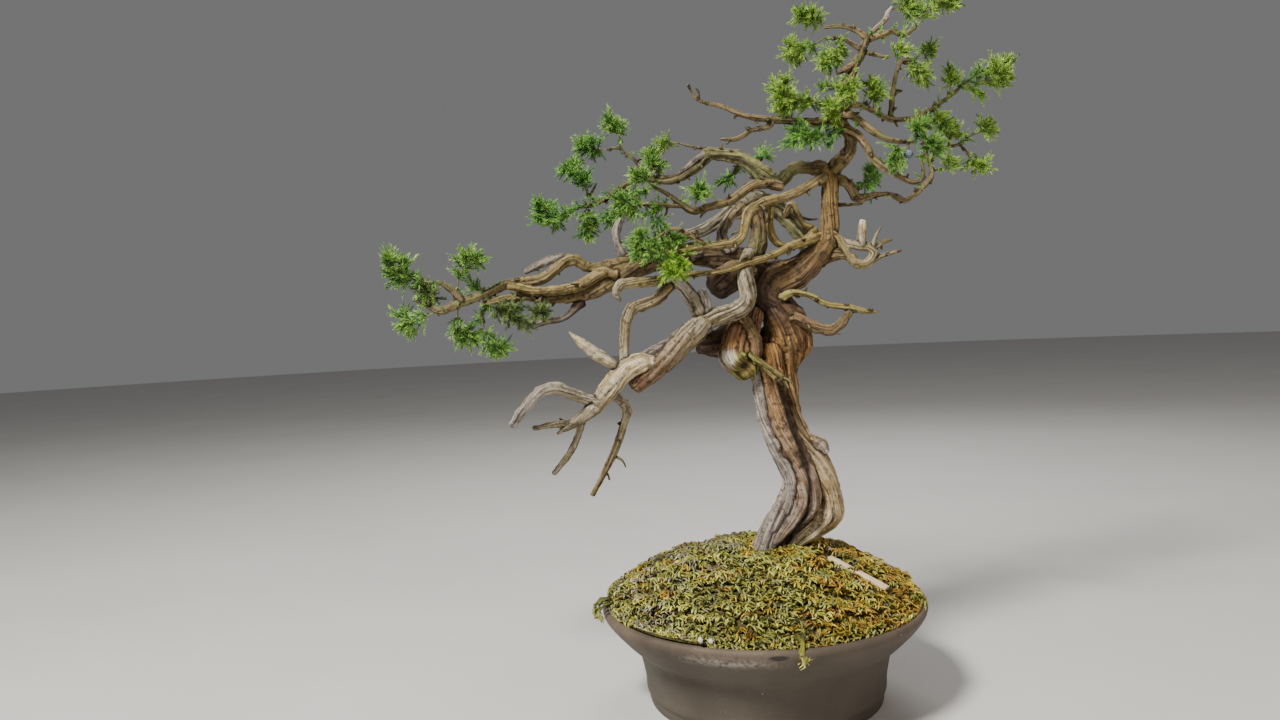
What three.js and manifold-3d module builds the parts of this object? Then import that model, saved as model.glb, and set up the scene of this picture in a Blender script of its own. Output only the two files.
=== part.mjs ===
// An old juniper bonsai with bleached deadwood and sparse green pads, in a round unglazed pot under a mound of moss.
// Millimetres, +Z up. The origin is the middle of the pot's foot, and the tree's front faces -Y.
import * as THREE from "three";
import { mergeVertices } from "three/addons/utils/BufferGeometryUtils.js";
import Module from "manifold-3d";

const wasm = await Module();
wasm.setup();

// Driving sizes of the pot, in millimetres
const RIM_RADIUS = 145;
const RIM_HEIGHT = 88;
const FOOT_RADIUS = 104;
const WALL_RADIUS = 113;
const WALL_THICKNESS = 10;
const FLOOR_THICKNESS = 12;
const POT_SEGMENTS = 24;
const DRAIN_HOLES = 3;
const DRAIN_RADIUS = 9;
const DRAIN_CIRCLE = 55;
const NET_SIDE = 28;
const NET_THICKNESS = 1.2;

// The filling: a dome of soil, and on it a mound of moss that reaches the lip
const SOIL_TOP = 114;
const SOIL_EDGE = 118;
const MOSS_TOP = 131;
const MOSS_EDGE = 138;
const MOSS_CLUMPS = 90;
const MOSS_CLUMP_RADIUS = 17;
const MOSS_CLUMP_HEIGHT = 5;

// Gap between pieces that touch
const CLEARANCE = 0.3;

// The tree is given as it looks from this point: x and z lie on the upright plane Y = 0, and a depth slides a
// point along its line of sight, away from the viewer.
const EYE = new THREE.Vector3(-100, -836, 341);

function seen([x, z, depth]) {
  return new THREE.Vector3(x, 0, z).sub(EYE).multiplyScalar(1 - depth / EYE.y).add(EYE);
}

// One seeded random source, so that every build is the same
let seed = 20117;
function random() {
  seed = (seed * 1664525 + 1013904223) % 4294967296;
  return seed / 4294967296;
}

// A three.js geometry as a solid that can be joined and cut
function solidOf(geometry) {
  const bare = geometry.clone();
  bare.deleteAttribute("normal");
  bare.deleteAttribute("uv");
  const merged = mergeVertices(bare, 1e-4);
  return new wasm.Manifold(
    new wasm.Mesh({
      numProp: 3,
      vertProperties: new Float32Array(merged.attributes.position.array),
      triVerts: new Uint32Array(merged.index.array),
    }),
  );
}

// A solid as a three.js geometry
function geometryOf(solid) {
  const mesh = solid.getMesh();
  const geometry = new THREE.BufferGeometry();
  geometry.setAttribute("position", new THREE.BufferAttribute(mesh.vertProperties, 3));
  geometry.setIndex(new THREE.BufferAttribute(mesh.triVerts, 1));
  geometry.computeVertexNormals();
  return geometry;
}

// The largest of the separate bodies in a solid, which drops loose scraps
function largestBody(solid) {
  return solid.decompose().reduce((best, body) => (body.volume() > best.volume() ? body : best));
}

const bonsai = new THREE.Group();

function addPiece(name, geometry, material) {
  const mesh = new THREE.Mesh(geometry, material);
  mesh.name = name;
  bonsai.add(mesh);
}

const clay = new THREE.MeshStandardMaterial({ color: 0x4d443c, roughness: 0.8, metalness: 0 });
const earth = new THREE.MeshStandardMaterial({ color: 0x3a2c20, roughness: 1, metalness: 0 });
const mossGreen = new THREE.MeshStandardMaterial({ color: 0x8a8a3c, roughness: 1, metalness: 0 });
const wood = new THREE.MeshStandardMaterial({ color: 0x9c8462, roughness: 0.85, metalness: 0 });
const foliage = new THREE.MeshStandardMaterial({ color: 0x4f8a35, roughness: 0.7, metalness: 0 });
const berryBlue = new THREE.MeshStandardMaterial({ color: 0x4a5560, roughness: 0.6, metalness: 0 });
const netBlack = new THREE.MeshStandardMaterial({ color: 0x1c1c1c, roughness: 0.6, metalness: 0 });
const paleWood = new THREE.MeshStandardMaterial({ color: 0xd8c0a0, roughness: 0.8, metalness: 0 });

// A closed solid of revolution about Z from [radius, height] points, which start and end on the axis
function turned(profile, segments) {
  const points = profile.map(([radius, height]) => new THREE.Vector2(radius, height));
  return new THREE.LatheGeometry(points, segments).rotateX(Math.PI / 2);
}

// A tapering limb along a smooth line through [x, z, depth, radius] points, with a ring at each point. Its
// section is a little knotted, and grow makes the whole limb thicker by that much.
const KNOT = 0.09;
const END_BULGE = 0.45;
function limb(points, place = seen, grow = 0) {
  const line = new THREE.CatmullRomCurve3(points.map(place), false, "centripetal");
  const last = points.length - 1;
  const radii = points.map((point) => point[3]);
  const thickest = Math.max(...radii);
  const sides = thickest > 8.5 ? 6 : thickest > 6.5 ? 5 : thickest > 3.6 ? 4 : 3;
  const position = [];
  const index = [];
  let tangent = line.getTangent(0);
  const normal = new THREE.Vector3(0.31, -0.9, 0.3).cross(tangent).normalize();
  points.forEach((point, ring) => {
    const next = line.getTangent(ring / last);
    normal.applyQuaternion(new THREE.Quaternion().setFromUnitVectors(tangent, next));
    tangent = next;
    const binormal = tangent.clone().cross(normal);
    const centre = line.getPoint(ring / last);
    for (let side = 0; side < sides; side += 1) {
      const angle = (side / sides) * 2 * Math.PI;
      const radius = radii[ring] * (1 + KNOT * Math.sin(2 * angle + ring * 1.3)) + grow;
      const corner = centre
        .clone()
        .addScaledVector(normal, Math.cos(angle) * radius)
        .addScaledVector(binormal, Math.sin(angle) * radius);
      position.push(...corner);
    }
  });
  for (let ring = 0; ring < last; ring += 1) {
    for (let side = 0; side < sides; side += 1) {
      const a = ring * sides + side;
      const b = ring * sides + ((side + 1) % sides);
      index.push(a, b, a + sides, b, b + sides, a + sides);
    }
  }
  for (const ring of [0, last]) {
    const outward = ring === 0 ? -1 : 1;
    const bulge = outward * (radii[ring] * END_BULGE + grow);
    const tip = position.length / 3;
    position.push(...line.getPoint(ring / last).addScaledVector(line.getTangent(ring / last), bulge));
    for (let side = 0; side < sides; side += 1) {
      const a = ring * sides + side;
      const b = ring * sides + ((side + 1) % sides);
      index.push(...(ring === 0 ? [tip, b, a] : [tip, a, b]));
    }
  }
  const geometry = new THREE.BufferGeometry();
  geometry.setAttribute("position", new THREE.Float32BufferAttribute(position, 3));
  geometry.setIndex(index);
  return geometry;
}

// The trunk is a twisted bundle of strands: bleached on the left, live bark in the middle and on the right
const TRUNK = [
  [[-3, 120, -4, 9], [17, 157, -6, 9.5], [26, 171, -7, 10], [32, 188, -8, 9], [31, 200, -8, 9], [25, 214, -7, 8.5],
    [18, 232, -6, 9], [12, 250, -5, 9], [8, 285, -5, 8], [8, 308, -4, 9]],
  [[10, 118, -8, 9], [17, 140, -8, 9], [31, 155, -9, 11], [44, 172, -9, 13], [45, 190, -9, 12], [39, 208, -8, 12],
    [31, 226, -8, 12], [24, 246, -7, 12], [20, 268, -6, 12], [17, 312, -5, 14]],
  [[20, 124, 2, 9], [32, 137, 1, 9], [50, 148, 0, 11], [63, 160, 0, 14], [65, 176, 0, 12], [60, 194, 0, 12],
    [53, 210, 1, 12], [42, 228, 1, 11], [34, 246, 1, 11], [28, 282, 1, 12], [30, 320, 0, 18]],
  [[18, 116, 12, 12], [30, 140, 12, 14], [45, 165, 12, 18], [48, 185, 12, 17], [33, 228, 11, 15], [22, 275, 10, 14],
    [26, 325, 8, 18]],
  [[50, 228, -2, 6], [58, 222, -3, 8], [62, 216, -3, 6]],
];

// The swollen head of the trunk with its cut lobes, a flake of tan bark and the split twigs on it
const HEAD = [
  [[28, 300, 2, 15], [32, 318, 2, 21], [30, 336, 2, 19], [24, 350, 4, 15]],
  [[2, 345, -6, 12], [-6, 328, -10, 14], [-14, 308, -12, 15], [-4, 293, -12, 11]],
  [[-5, 325, 8, 18], [-28, 318, 6, 14], [-45, 318, 2, 9]],
  [[-10, 350, -14, 6], [-3, 335, -18, 7], [4, 320, -20, 6], [5, 300, -20, 4]],
  [[0, 308, -20, 3], [12, 297, -24, 3], [20, 291, -25, 3], [27, 285, -26, 2.6], [32, 275, -27, 1.5]],
  [[8, 300, -22, 2.2], [16, 290, -26, 2.2], [29, 274, -28, 1.3]],
];

// The pale loop in front of the head, and its fork and burl
const LOOP = [
  [[2, 398, -10, 6], [-2, 385, -20, 7], [-1, 357, -28, 7.5], [-8, 349, -29, 8], [-20, 345, -30, 8],
    [-32, 342, -31, 8.5], [-42, 338, -33, 10]],
  [[-45, 345, -33, 7], [-49, 357, -32, 6], [-62, 376, -30, 6], [-71, 379, -29, 4.5]],
  [[-40, 345, -32, 6], [-39, 356, -32, 5], [-42, 366, -31, 4]],
  [[0, 385, 0, 12], [-15, 378, -8, 13], [-28, 370, -14, 13]],
];

// The bare limb that goes down to the left from the loop and ends in a claw of dead prongs
const CLAW = [
  [[-42, 338, -33, 10], [-52, 329, -36, 11], [-64, 318, -39, 10.5], [-88, 298, -45, 9.5], [-106, 284, -48, 7]],
  [[-55, 335, -30, 5], [-70, 322, -34, 6], [-97, 308, -42, 6], [-105, 302, -46, 6]],
  [[-88, 303, -46, 7], [-100, 303, -48, 9], [-112, 298, -51, 9.5], [-122, 290, -53, 9], [-139, 271, -57, 7.5],
    [-156, 257, -60, 5], [-172, 249, -62, 4]],
  [[-116, 298, -51, 5], [-137, 313, -55, 5], [-149, 323, -57, 4.5], [-162, 335, -59, 1.2]],
  [[-141, 271, -58, 6], [-151, 274, -61, 5], [-165, 280, -66, 5.5], [-179, 285, -71, 5.5], [-190, 283, -75, 5.3],
    [-207, 267, -80, 4.8], [-218, 253, -82, 3.5]],
  [[-166, 251, -61, 4], [-176, 253, -64, 3.3], [-199, 250, -70, 2]],
  [[-170, 249, -62, 3], [-178, 244, -63, 1.2]],
  [[-167, 251, -61, 2.4], [-175, 258, -60, 1]],
  [[-154, 257, -58, 3.5], [-157, 247, -55, 3.2], [-167, 227, -51, 3], [-183, 208, -47, 2.2]],
  [[-127, 279, -54, 4.5], [-120, 272, -50, 3.6], [-114, 264, -46, 4.3], [-116, 253, -44, 3.6], [-130, 220, -40, 3.3],
    [-149, 187, -36, 2.2]],
];

// The bent limb that stands on the claw like a stilt, a pale branch beside it, and a vein of yellow live bark
const STILT = [
  [[-66, 375, -27, 5], [-83, 361, -30, 5], [-94, 357, -32, 5.5], [-104, 354, -35, 6], [-110, 345, -38, 5],
    [-114, 316, -46, 4.5], [-113, 303, -49, 5]],
  [[-70, 378, -28, 4], [-92, 377, -31, 5], [-114, 375, -34, 5], [-118, 369, -35, 3.5], [-115, 361, -36, 1.5]],
  [[71, 411, 0, 4.5], [60, 408, -8, 4], [40, 402, -18, 3.6], [21, 394, -23, 3.2], [-1, 389, -27, 3.2],
    [-18, 384, -29, 2.6], [-51, 381, -30, 2.4], [-66, 381, -29, 2.5]],
];

// The long low branch to the left, a braid of strands that ends in the left pad
const LEFT_BRANCH = [
  [[10, 385, 4, 14], [-10, 392, 4, 12], [-35, 398, 4, 11], [-60, 400, 3, 10], [-95, 392, 1, 10], [-125, 379, -2, 9.5],
    [-140, 372, -4, 9], [-165, 366, -7, 6]],
  [[-95, 396, 0, 5], [-121, 395, -2, 4.5], [-134, 392, -3, 4], [-145, 393, -4, 4.5], [-153, 399, -5, 5],
    [-161, 399, -6, 5.5], [-176, 389, -8, 4.5], [-186, 384, -9, 4.5], [-213, 381, -11, 4.3], [-238, 372, -15, 4],
    [-260, 366, -19, 4.5], [-277, 360, -21, 3.5], [-286, 364, -22, 2.5], [-299, 370, -24, 1]],
  [[-158, 399, -4, 4.5], [-168, 402, -4, 4], [-190, 395, -6, 3.5], [-199, 391, -7, 2.5]],
  [[-118, 384, -8, 6], [-130, 387, -10, 5.5], [-150, 377, -13, 5], [-162, 374, -14, 4.5], [-190, 373, -16, 4.5],
    [-214, 379, -17, 4]],
  [[-257, 367, -19, 4], [-264, 377, -19, 3.6], [-278, 386, -21, 2]],
  [[-165, 366, -7, 5], [-190, 366, -11, 3.5], [-203, 369, -13, 3.3], [-230, 366, -16, 3], [-241, 364, -17, 2]],
  [[-233, 366, -16, 2], [-240, 356, -14, 1.6], [-238, 347, -13, 1.2]],
  [[-150, 362, -4, 5], [-163, 350, -5, 2.8], [-170, 347, -6, 2.6], [-181, 346, -8, 3], [-196, 341, -11, 2]],
  [[-104, 398, 4, 4], [-111, 402, 4, 4.5], [-116, 422, 6, 4], [-113, 431, 7, 3.5], [-108, 436, 8, 2]],
];

// The two upper left branches with their twigs, and a dark limb behind them
const UPPER_LEFT = [
  [[42, 470, 12, 5], [36, 463, 14, 6], [28, 460, 18, 7], [19, 466, 22, 8], [9, 475, 26, 7], [-1, 482, 29, 6.3],
    [-22, 487, 34, 6], [-30, 488, 36, 6.5], [-38, 479, 38, 5], [-47, 473, 40, 4.8], [-58, 468, 42, 4.8],
    [-70, 466, 45, 4.5], [-93, 470, 51, 3.2], [-112, 460, 57, 2.6], [-127, 451, 62, 2.2], [-133, 451, 64, 1.8],
    [-138, 457, 66, 1.4]],
  [[-30, 489, 34, 3.5], [-40, 484, 34, 3], [-59, 471, 40, 2]],
  [[-30, 492, 36, 1.8], [-48, 496, 39, 1.4], [-57, 499, 41, 1.1]],
  [[-90, 470, 51, 2.2], [-96, 485, 56, 1.8], [-108, 496, 62, 1.6], [-108, 503, 64, 1.4]],
  [[-108, 496, 62, 1.6], [-115, 497, 63, 1.4], [-121, 496, 64, 1.2]],
  [[-125, 452, 61, 2], [-135, 447, 63, 1.8], [-149, 446, 65, 1.4]],
  [[0, 482, 30, 3], [-8, 470, 40, 2], [-12, 466, 48, 1.4]],
  [[9, 475, 27, 3], [15, 480, 36, 2], [18, 484, 42, 1.4]],
  [[33, 456, 10, 5], [20, 459, 4, 4.5], [6, 457, -2, 4.2], [-14, 445, -11, 3.8], [-27, 442, -16, 3.4],
    [-46, 438, -23, 3], [-55, 443, -26, 2.8], [-69, 455, -31, 2.2], [-80, 461, -34, 1.6]],
  [[-56, 443, -27, 2.2], [-70, 444, -30, 2], [-91, 446, -35, 1.8]],
  [[60, 395, 12, 9], [50, 410, 18, 8], [40, 425, 22, 8], [25, 440, 20, 8], [10, 447, 18, 7.5], [-4, 441, 16, 7],
    [-26, 427, 14, 6], [-38, 421, 13, 5.5], [-62, 413, 11, 5], [-74, 402, 8, 5]],
  [[73, 463, 2, 5], [63, 458, -4, 4.2], [52, 452, -10, 4], [40, 447, -16, 4], [16, 442, -25, 4.5], [8, 438, -28, 4.8],
    [2, 432, -30, 4.8], [-1, 422, -32, 4.5], [-4, 413, -34, 4.2], [-11, 408, -36, 4], [-30, 406, -40, 3.2],
    [-50, 404, -44, 2.8], [-64, 401, -47, 1.6]],
  [[-34, 406, -41, 2.6], [-51, 417, -43, 2], [-65, 423, -45, 1.7], [-78, 417, -47, 1.1]],
];

// The tangle of limbs over the head
const TANGLE = [
  [[0, 385, 0, 10], [8, 400, 2, 9], [12, 418, 6, 8], [10, 435, 12, 7]],
  [[-15, 400, -4, 7], [-22, 415, -2, 5], [-14, 430, 4, 5], [-2, 440, 12, 5]],
  [[-40, 400, 0, 6], [-48, 399, -6, 6]],
  [[24, 438, -22, 3], [22, 425, -8, 3.2], [24, 412, -10, 3.4], [31, 404, -10, 3.4], [42, 403, -8, 3.4],
    [53, 408, -4, 3.5], [62, 416, 0, 4]],
  [[36, 430, 16, 3.4], [42, 440, 4, 2.8], [47, 431, 2, 2.6], [52, 422, 0, 2.6], [60, 418, 0, 3]],
];

// The dark live limb to the right, with the ring of a healed break and its dead stubs
const RIGHT_WOOD = [
  [[24, 350, 4, 15], [14, 362, 2, 15], [20, 372, 2, 16], [38, 377, 0, 15], [52, 384, -1, 13], [64, 394, -2, 11],
    [73, 404, -2, 9.5], [75, 415, -1, 8], [76, 438, 1, 7.5], [77, 461, 3, 7.5], [72, 470, 4, 7]],
  [[76, 412, -3, 6], [82, 407, -6, 4.5], [87, 399, -8, 4], [91, 391, -9, 4], [97, 385, -10, 4], [105, 383, -10, 4],
    [111, 387, -9, 4], [114, 393, -8, 4], [109, 398, -8, 4], [100, 400, -8, 4], [85, 405, -6, 3]],
  [[66, 390, -2, 8], [78, 393, -4, 6], [88, 392, -7, 4.5], [96, 387, -9, 4]],
  [[103, 401, -8, 5], [104, 412, -9, 4.8], [105, 424, -10, 3]],
  [[112, 396, -8, 3], [116, 407, -7, 2], [121, 416, -6, 1]],
  [[113, 396, -8, 2.5], [122, 402, -6, 2], [130, 404, -4, 1.3]],
  [[111, 386, -9, 3.2], [121, 390, -7, 2.4], [138, 394, -3, 1.3]],
  [[28, 356, -6, 5], [40, 361, -13, 3.5], [57, 357, -17, 3], [66, 351, -19, 2.8], [75, 348, -21, 2.8],
    [91, 345, -25, 3], [105, 341, -29, 2.4], [116, 340, -32, 1.1]],
  [[30, 334, -6, 8], [40, 338, -10, 6], [57, 330, -17, 5], [72, 326, -21, 4.8], [80, 330, -23, 4.6],
    [91, 342, -25, 3.4]],
  [[30, 345, -4, 6], [38, 347, -5, 5], [44, 345, -6, 4], [48, 336, -10, 4]],
];

// The hub over the dark limb, the low right branch, and the stem that climbs to the apex
const STEM = [
  [[72, 470, 4, 7], [60, 471, 7, 6], [50, 472, 10, 5.5], [42, 470, 12, 5.5]],
  [[80, 462, 3, 6], [93, 455, 9, 4.8], [97, 448, 12, 4.5], [101, 442, 15, 4.6], [109, 443, 19, 3.4],
    [129, 445, 27, 2], [137, 441, 31, 3.2], [143, 438, 33, 2.4], [160, 450, 40, 2.6], [167, 457, 43, 2.4],
    [168, 465, 45, 2.2], [163, 482, 46, 1.8], [162, 494, 46, 1.5]],
  [[168, 470, 46, 1.8], [173, 480, 49, 1.8], [193, 486, 55, 1.6], [208, 495, 59, 1.2]],
  [[193, 486, 55, 1.4], [197, 482, 56, 1.3], [203, 475, 58, 1.1]],
  [[168, 463, 45, 1.5], [175, 465, 46, 1]],
  [[99, 446, 13, 2], [104, 453, 12, 1.4]],
  [[77, 437, 3, 4], [86, 437, 4, 2], [105, 437, 8, 1.4]],
  [[76, 464, 3, 7], [85, 474, 2, 6.5], [92, 480, 1, 6], [97, 488, 0, 5.5], [96, 498, -2, 5], [90, 508, -4, 5],
    [87, 520, -5, 4.5], [88, 532, -6, 4], [92, 542, -6, 4], [99, 548, -6, 3.6], [104, 561, -5, 3.6],
    [110, 570, -4, 3.6], [115, 584, -2, 3.4]],
];

// Twigs of the apex and of the pads on the right, and the bare dead pair on the left of the stem
const UPPER_RIGHT = [
  [[114, 583, -2, 3], [109, 588, 1, 2.4], [94, 594, 7, 2], [78, 594, 12, 1.5]],
  [[109, 573, -3, 2.6], [99, 580, 3, 2.1], [92, 584, 6, 2], [80, 584, 11, 1.5]],
  [[111, 571, -3, 2.4], [118, 569, -6, 2.2], [132, 565, -10, 1.4]],
  [[103, 561, -4, 3.5], [96, 557, -8, 4], [87, 553, -12, 2]],
  [[115, 583, -2, 3], [121, 589, 0, 2.6], [132, 599, 3, 2.4], [134, 604, 4, 2.3], [138, 609, 5, 1.6]],
  [[116, 582, -2, 3.2], [130, 586, -6, 2.6], [139, 588, -8, 2.4], [146, 584, -10, 2.2], [158, 590, -12, 1.8]],
  [[88, 518, -3, 3.5], [98, 524, 4, 3], [108, 524, 10, 2.8], [126, 514, 20, 2.6], [133, 511, 24, 3],
    [152, 511, 34, 2.4], [171, 519, 42, 2.4], [190, 531, 51, 2.2], [200, 540, 56, 1.8]],
  [[133, 512, 24, 3], [134, 520, 25, 2.6], [138, 544, 28, 2.2], [145, 561, 30, 2.2], [156, 562, 32, 1.4]],
  [[88, 516, -6, 4], [98, 516, -10, 3.5], [113, 504, -18, 3], [128, 494, -24, 2.6], [138, 491, -27, 2.4],
    [155, 490, -32, 1.8]],
  [[92, 504, -5, 4], [102, 499, -9, 3.5], [110, 489, -14, 3.2], [117, 476, -19, 3], [142, 458, -30, 2.4],
    [152, 454, -33, 2.2], [159, 456, -35, 1.8], [160, 476, -36, 1.4]],
  [[147, 490, -30, 1.4], [148, 486, -30, 1.1], [148, 483, -30, 0.9]],
  [[88, 529, -6, 3], [80, 529, -12, 2], [72, 530, -17, 1.5]],
  [[93, 503, -3, 3], [83, 500, -8, 1.8], [77, 498, -10, 1.4]],
  [[86, 515, -8, 4], [70, 512, -14, 3.6], [45, 513, -20, 3.2], [29, 515, -23, 3], [3, 520, -26, 2.3],
    [-14, 528, -28, 2], [-39, 537, -31, 1.4], [-46, 550, -33, 0.6]],
  [[29, 515, -23, 2.8], [25, 510, -22, 2.6], [10, 507, -20, 2.3], [-4, 500, -18, 2.1], [-19, 500, -16, 1.2]],
];

// Below the moss the trunk goes on into the soil and spreads in roots: [x, z, y, radius]
const ROOTS = [
  [[14, 136, 4, 17], [10, 112, 4, 20], [8, 88, 4, 15], [8, 66, 4, 8]],
  [[8, 100, 2, 12], [-26, 78, -20, 8], [-62, 64, -40, 3]],
  [[8, 100, 0, 12], [46, 80, -24, 7], [74, 62, -44, 3]],
  [[8, 98, 8, 12], [-22, 76, 44, 7], [-46, 60, 66, 3]],
  [[10, 98, 8, 12], [44, 78, 42, 7], [62, 60, 58, 3]],
];
const asGiven = ([x, z, y]) => new THREE.Vector3(x, y, z);

const SEEN_LIMBS = [TRUNK, HEAD, LOOP, CLAW, STILT, LEFT_BRANCH, UPPER_LEFT, TANGLE, RIGHT_WOOD, STEM, UPPER_RIGHT];
function treeSolid(grow) {
  const above = SEEN_LIMBS.flat().map((points) => limb(points, seen, grow));
  const below = ROOTS.map((points) => limb(points, asGiven, grow));
  return wasm.Manifold.union([...above, ...below].map(solidOf));
}
const tree = largestBody(treeSolid(0));
const aroundTree = treeSolid(CLEARANCE);
addPiece("tree", geometryOf(tree), wood);

// Each spray of foliage: the end of the twig that carries it, the middle of its tuft, and the tuft's radius
const SPRAYS = {
  left_point: [[-277, 385, -21], [-307, 390, -24], 19],
  left_top: [[-262, 375, -19], [-257, 394, -20], 20],
  left_tip: [[-278, 361, -21], [-296, 354, -24], 18],
  left_under: [[-262, 364, -19], [-262, 347, -14], 18],
  left_drop: [[-238, 349, -13], [-236, 335, -14], 18],
  left_grey: [[-228, 365, -16], [-212, 352, -22], 15],
  left_inner: [[-194, 342, -10], [-190, 351, -17], 13],
  left_small: [[-283, 362, -21], [-289, 379, -14], 11],
  crown_top: [[-108, 502, 64], [-112, 514, 66], 14],
  crown_side: [[-120, 496, 64], [-133, 497, 66], 14],
  crown_upper: [[-138, 456, 66], [-148, 475, 66], 17],
  crown_big: [[-148, 446, 65], [-163, 441, 66], 24],
  crown_drop: [[-141, 447, 64], [-140, 428, 66], 12],
  crown_inner: [[-83, 468, 48], [-80, 480, 46], 16],
  crown_middle: [[-103, 465, 54], [-103, 453, 60], 16],
  crown_low: [[-114, 459, 57], [-116, 441, 60], 14],
  front_upper: [[-79, 460, -34], [-88, 466, -38], 13],
  front_tip: [[-90, 446, -35], [-103, 446, -38], 14],
  front_under: [[-80, 445, -33], [-78, 427, -34], 20],
  front_yellow: [[-63, 401, -47], [-80, 402, -52], 18],
  front_yellow_low: [[-56, 403, -45], [-61, 391, -52], 14],
  front_arch: [[-77, 417, -47], [-88, 414, -52], 11],
  wisp: [[-56, 499, 41], [-64, 500, 42], 10],
  middle_light: [[-44, 438, -23], [-42, 450, -27], 12],
  middle_back: [[-12, 466, 47], [-13, 465, 57], 18],
  middle_top: [[18, 484, 41], [19, 484, 51], 18],
  apex_hook: [[79, 594, 12], [64, 602, 15], 15],
  apex_hanging: [[81, 584, 11], [63, 578, 14], 19],
  apex_droop: [[92, 583, 6], [82, 566, 3], 11],
  apex_left: [[73, 530, -17], [56, 529, -22], 25],
  apex_low: [[78, 498, -10], [70, 499, -20], 20],
  apex_heart: [[92, 522, -6], [84, 520, -20], 15],
  apex_middle: [[93, 544, -7], [96, 539, -20], 15],
  apex_right: [[118, 519, 15], [119, 532, 12], 16],
  apex_twig: [[131, 565, -10], [140, 567, -12], 9],
  top_left: [[137, 608, 5], [150, 607, 6], 16],
  top_right: [[157, 589, -12], [173, 608, -14], 20],
  hook_upper: [[155, 562, 32], [166, 566, 34], 11],
  hook_low: [[148, 561, 31], [160, 549, 37], 13],
  right_middle: [[172, 519, 42], [177, 509, 45], 17],
  right_light: [[187, 529, 49], [188, 546, 49], 10],
  right_end: [[199, 539, 56], [219, 539, 58], 24],
  right_twig: [[180, 482, 50], [186, 492, 52], 10],
  right_low: [[162, 493, 46], [160, 501, 47], 11],
  right_fork: [[207, 494, 59], [214, 497, 61], 10],
  right_drop: [[202, 475, 58], [208, 469, 61], 11],
  right_stub: [[174, 465, 46], [181, 466, 48], 10],
  front_right: [[154, 490, -32], [155, 497, -37], 11],
  front_right_low: [[138, 490, -27], [135, 477, -30], 11],
  front_right_end: [[160, 475, -36], [166, 483, -39], 10],
  right_inner: [[104, 452, 12], [110, 458, 16], 13],
};

// One blue berry hangs under a twig on the right
const BERRY_RADIUS = 4;
const berryPlace = seen([148, 479, -30]);
const berry = new THREE.IcosahedronGeometry(BERRY_RADIUS, 1).translate(...berryPlace);
addPiece("berry", geometryOf(largestBody(solidOf(berry).subtract(aroundTree))), berryBlue);

const ARM_RADIUS = 1.2;
const ARM_TAPER = 0.5;
const WHORL_SPACING = 9;
const WHORL_SIDES = 3;
const NEEDLE_LENGTH = 8.5;
const NEEDLE_RADIUS = 0.8;
const NEEDLE_LEAN = 0.85;
const SIDE_ARM_LEAN = 1.05;
const SIDE_ARM_EVERY = [0, 2, 5];
const GOLDEN_ANGLE = Math.PI * (3 - Math.sqrt(5));

// The stem of each spray runs from inside its twig through the tuft's middle
const sprays = Object.entries(SPRAYS).map(([name, [foot, middle, radius]]) => {
  const root = seen(foot);
  const heart = seen(middle);
  const forward = heart.clone().sub(root).normalize();
  const stem = new THREE.Line3(root, heart.clone().addScaledVector(forward, radius * 0.6));
  return { name, radius, stem };
});

// All that a needle has to stay clear of: the limbs of the tree and what is already placed of the sprays
const placed = sprays.map(({ name, stem }) => ({ name, line: stem, radius: ARM_RADIUS }));
const berryLine = new THREE.Line3(berryPlace, berryPlace.clone().setZ(berryPlace.z + 1));
placed.push({ name: "", line: berryLine, radius: BERRY_RADIUS });
for (const points of SEEN_LIMBS.flat()) {
  for (let i = 1; i < points.length; i += 1) {
    const line = new THREE.Line3(seen(points[i - 1]), seen(points[i]));
    placed.push({ name: "", line, radius: Math.max(points[i - 1][3], points[i][3]) });
  }
}
function isClear(name, line, radius) {
  const outer = new THREE.Line3(line.at(0.4, new THREE.Vector3()), line.end);
  return placed.every((other) => {
    const own = other.name === name;
    const reach = own ? (radius + other.radius) * 0.7 : radius + other.radius + 2 * CLEARANCE;
    return (own ? outer : line).distanceSqToLine3(other.line) > reach * reach;
  });
}

// Direction of what sprouts from a stem's face: forward along the stem and leaning out over the face
function sproutDirection(axis, outward, lean) {
  const forward = axis.clone().multiplyScalar(Math.cos(lean));
  return forward.addScaledVector(outward, Math.sin(lean)).normalize();
}

// A face of a sprig's surface on three of its corners, with a ball around it for quick tests
function faceOn(sprig, corners) {
  const triangle = new THREE.Triangle(...corners.map((i) => new THREE.Vector3().fromArray(sprig.position, 3 * i)));
  const middle = triangle.getMidpoint(new THREE.Vector3());
  const reach = Math.max(...[triangle.a, triangle.b, triangle.c].map((corner) => corner.distanceTo(middle)));
  return { corners, triangle, middle, reach };
}

// Whether a segment passes through a triangle, where a touch at a corner or an edge doesn't count
const TOUCH = 1e-4;
function pierces(from, to, triangle) {
  const plane = triangle.getPlane(new THREE.Plane());
  const before = plane.distanceToPoint(from);
  const after = plane.distanceToPoint(to);
  if (before * after > 0 || Math.min(Math.abs(before), Math.abs(after)) < TOUCH) return false;
  const hit = from.clone().lerp(to, before / (before - after));
  const share = triangle.getBarycoord(hit, new THREE.Vector3());
  return share !== null && Math.min(share.x, share.y, share.z) > TOUCH;
}
function crosses(one, other) {
  if (one.middle.distanceTo(other.middle) > one.reach + other.reach) return false;
  return [[one, other], [other, one]].some(([edged, { triangle }]) => {
    const { a, b, c } = edged.triangle;
    return pierces(a, b, triangle) || pierces(b, c, triangle) || pierces(c, a, triangle);
  });
}

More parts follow.
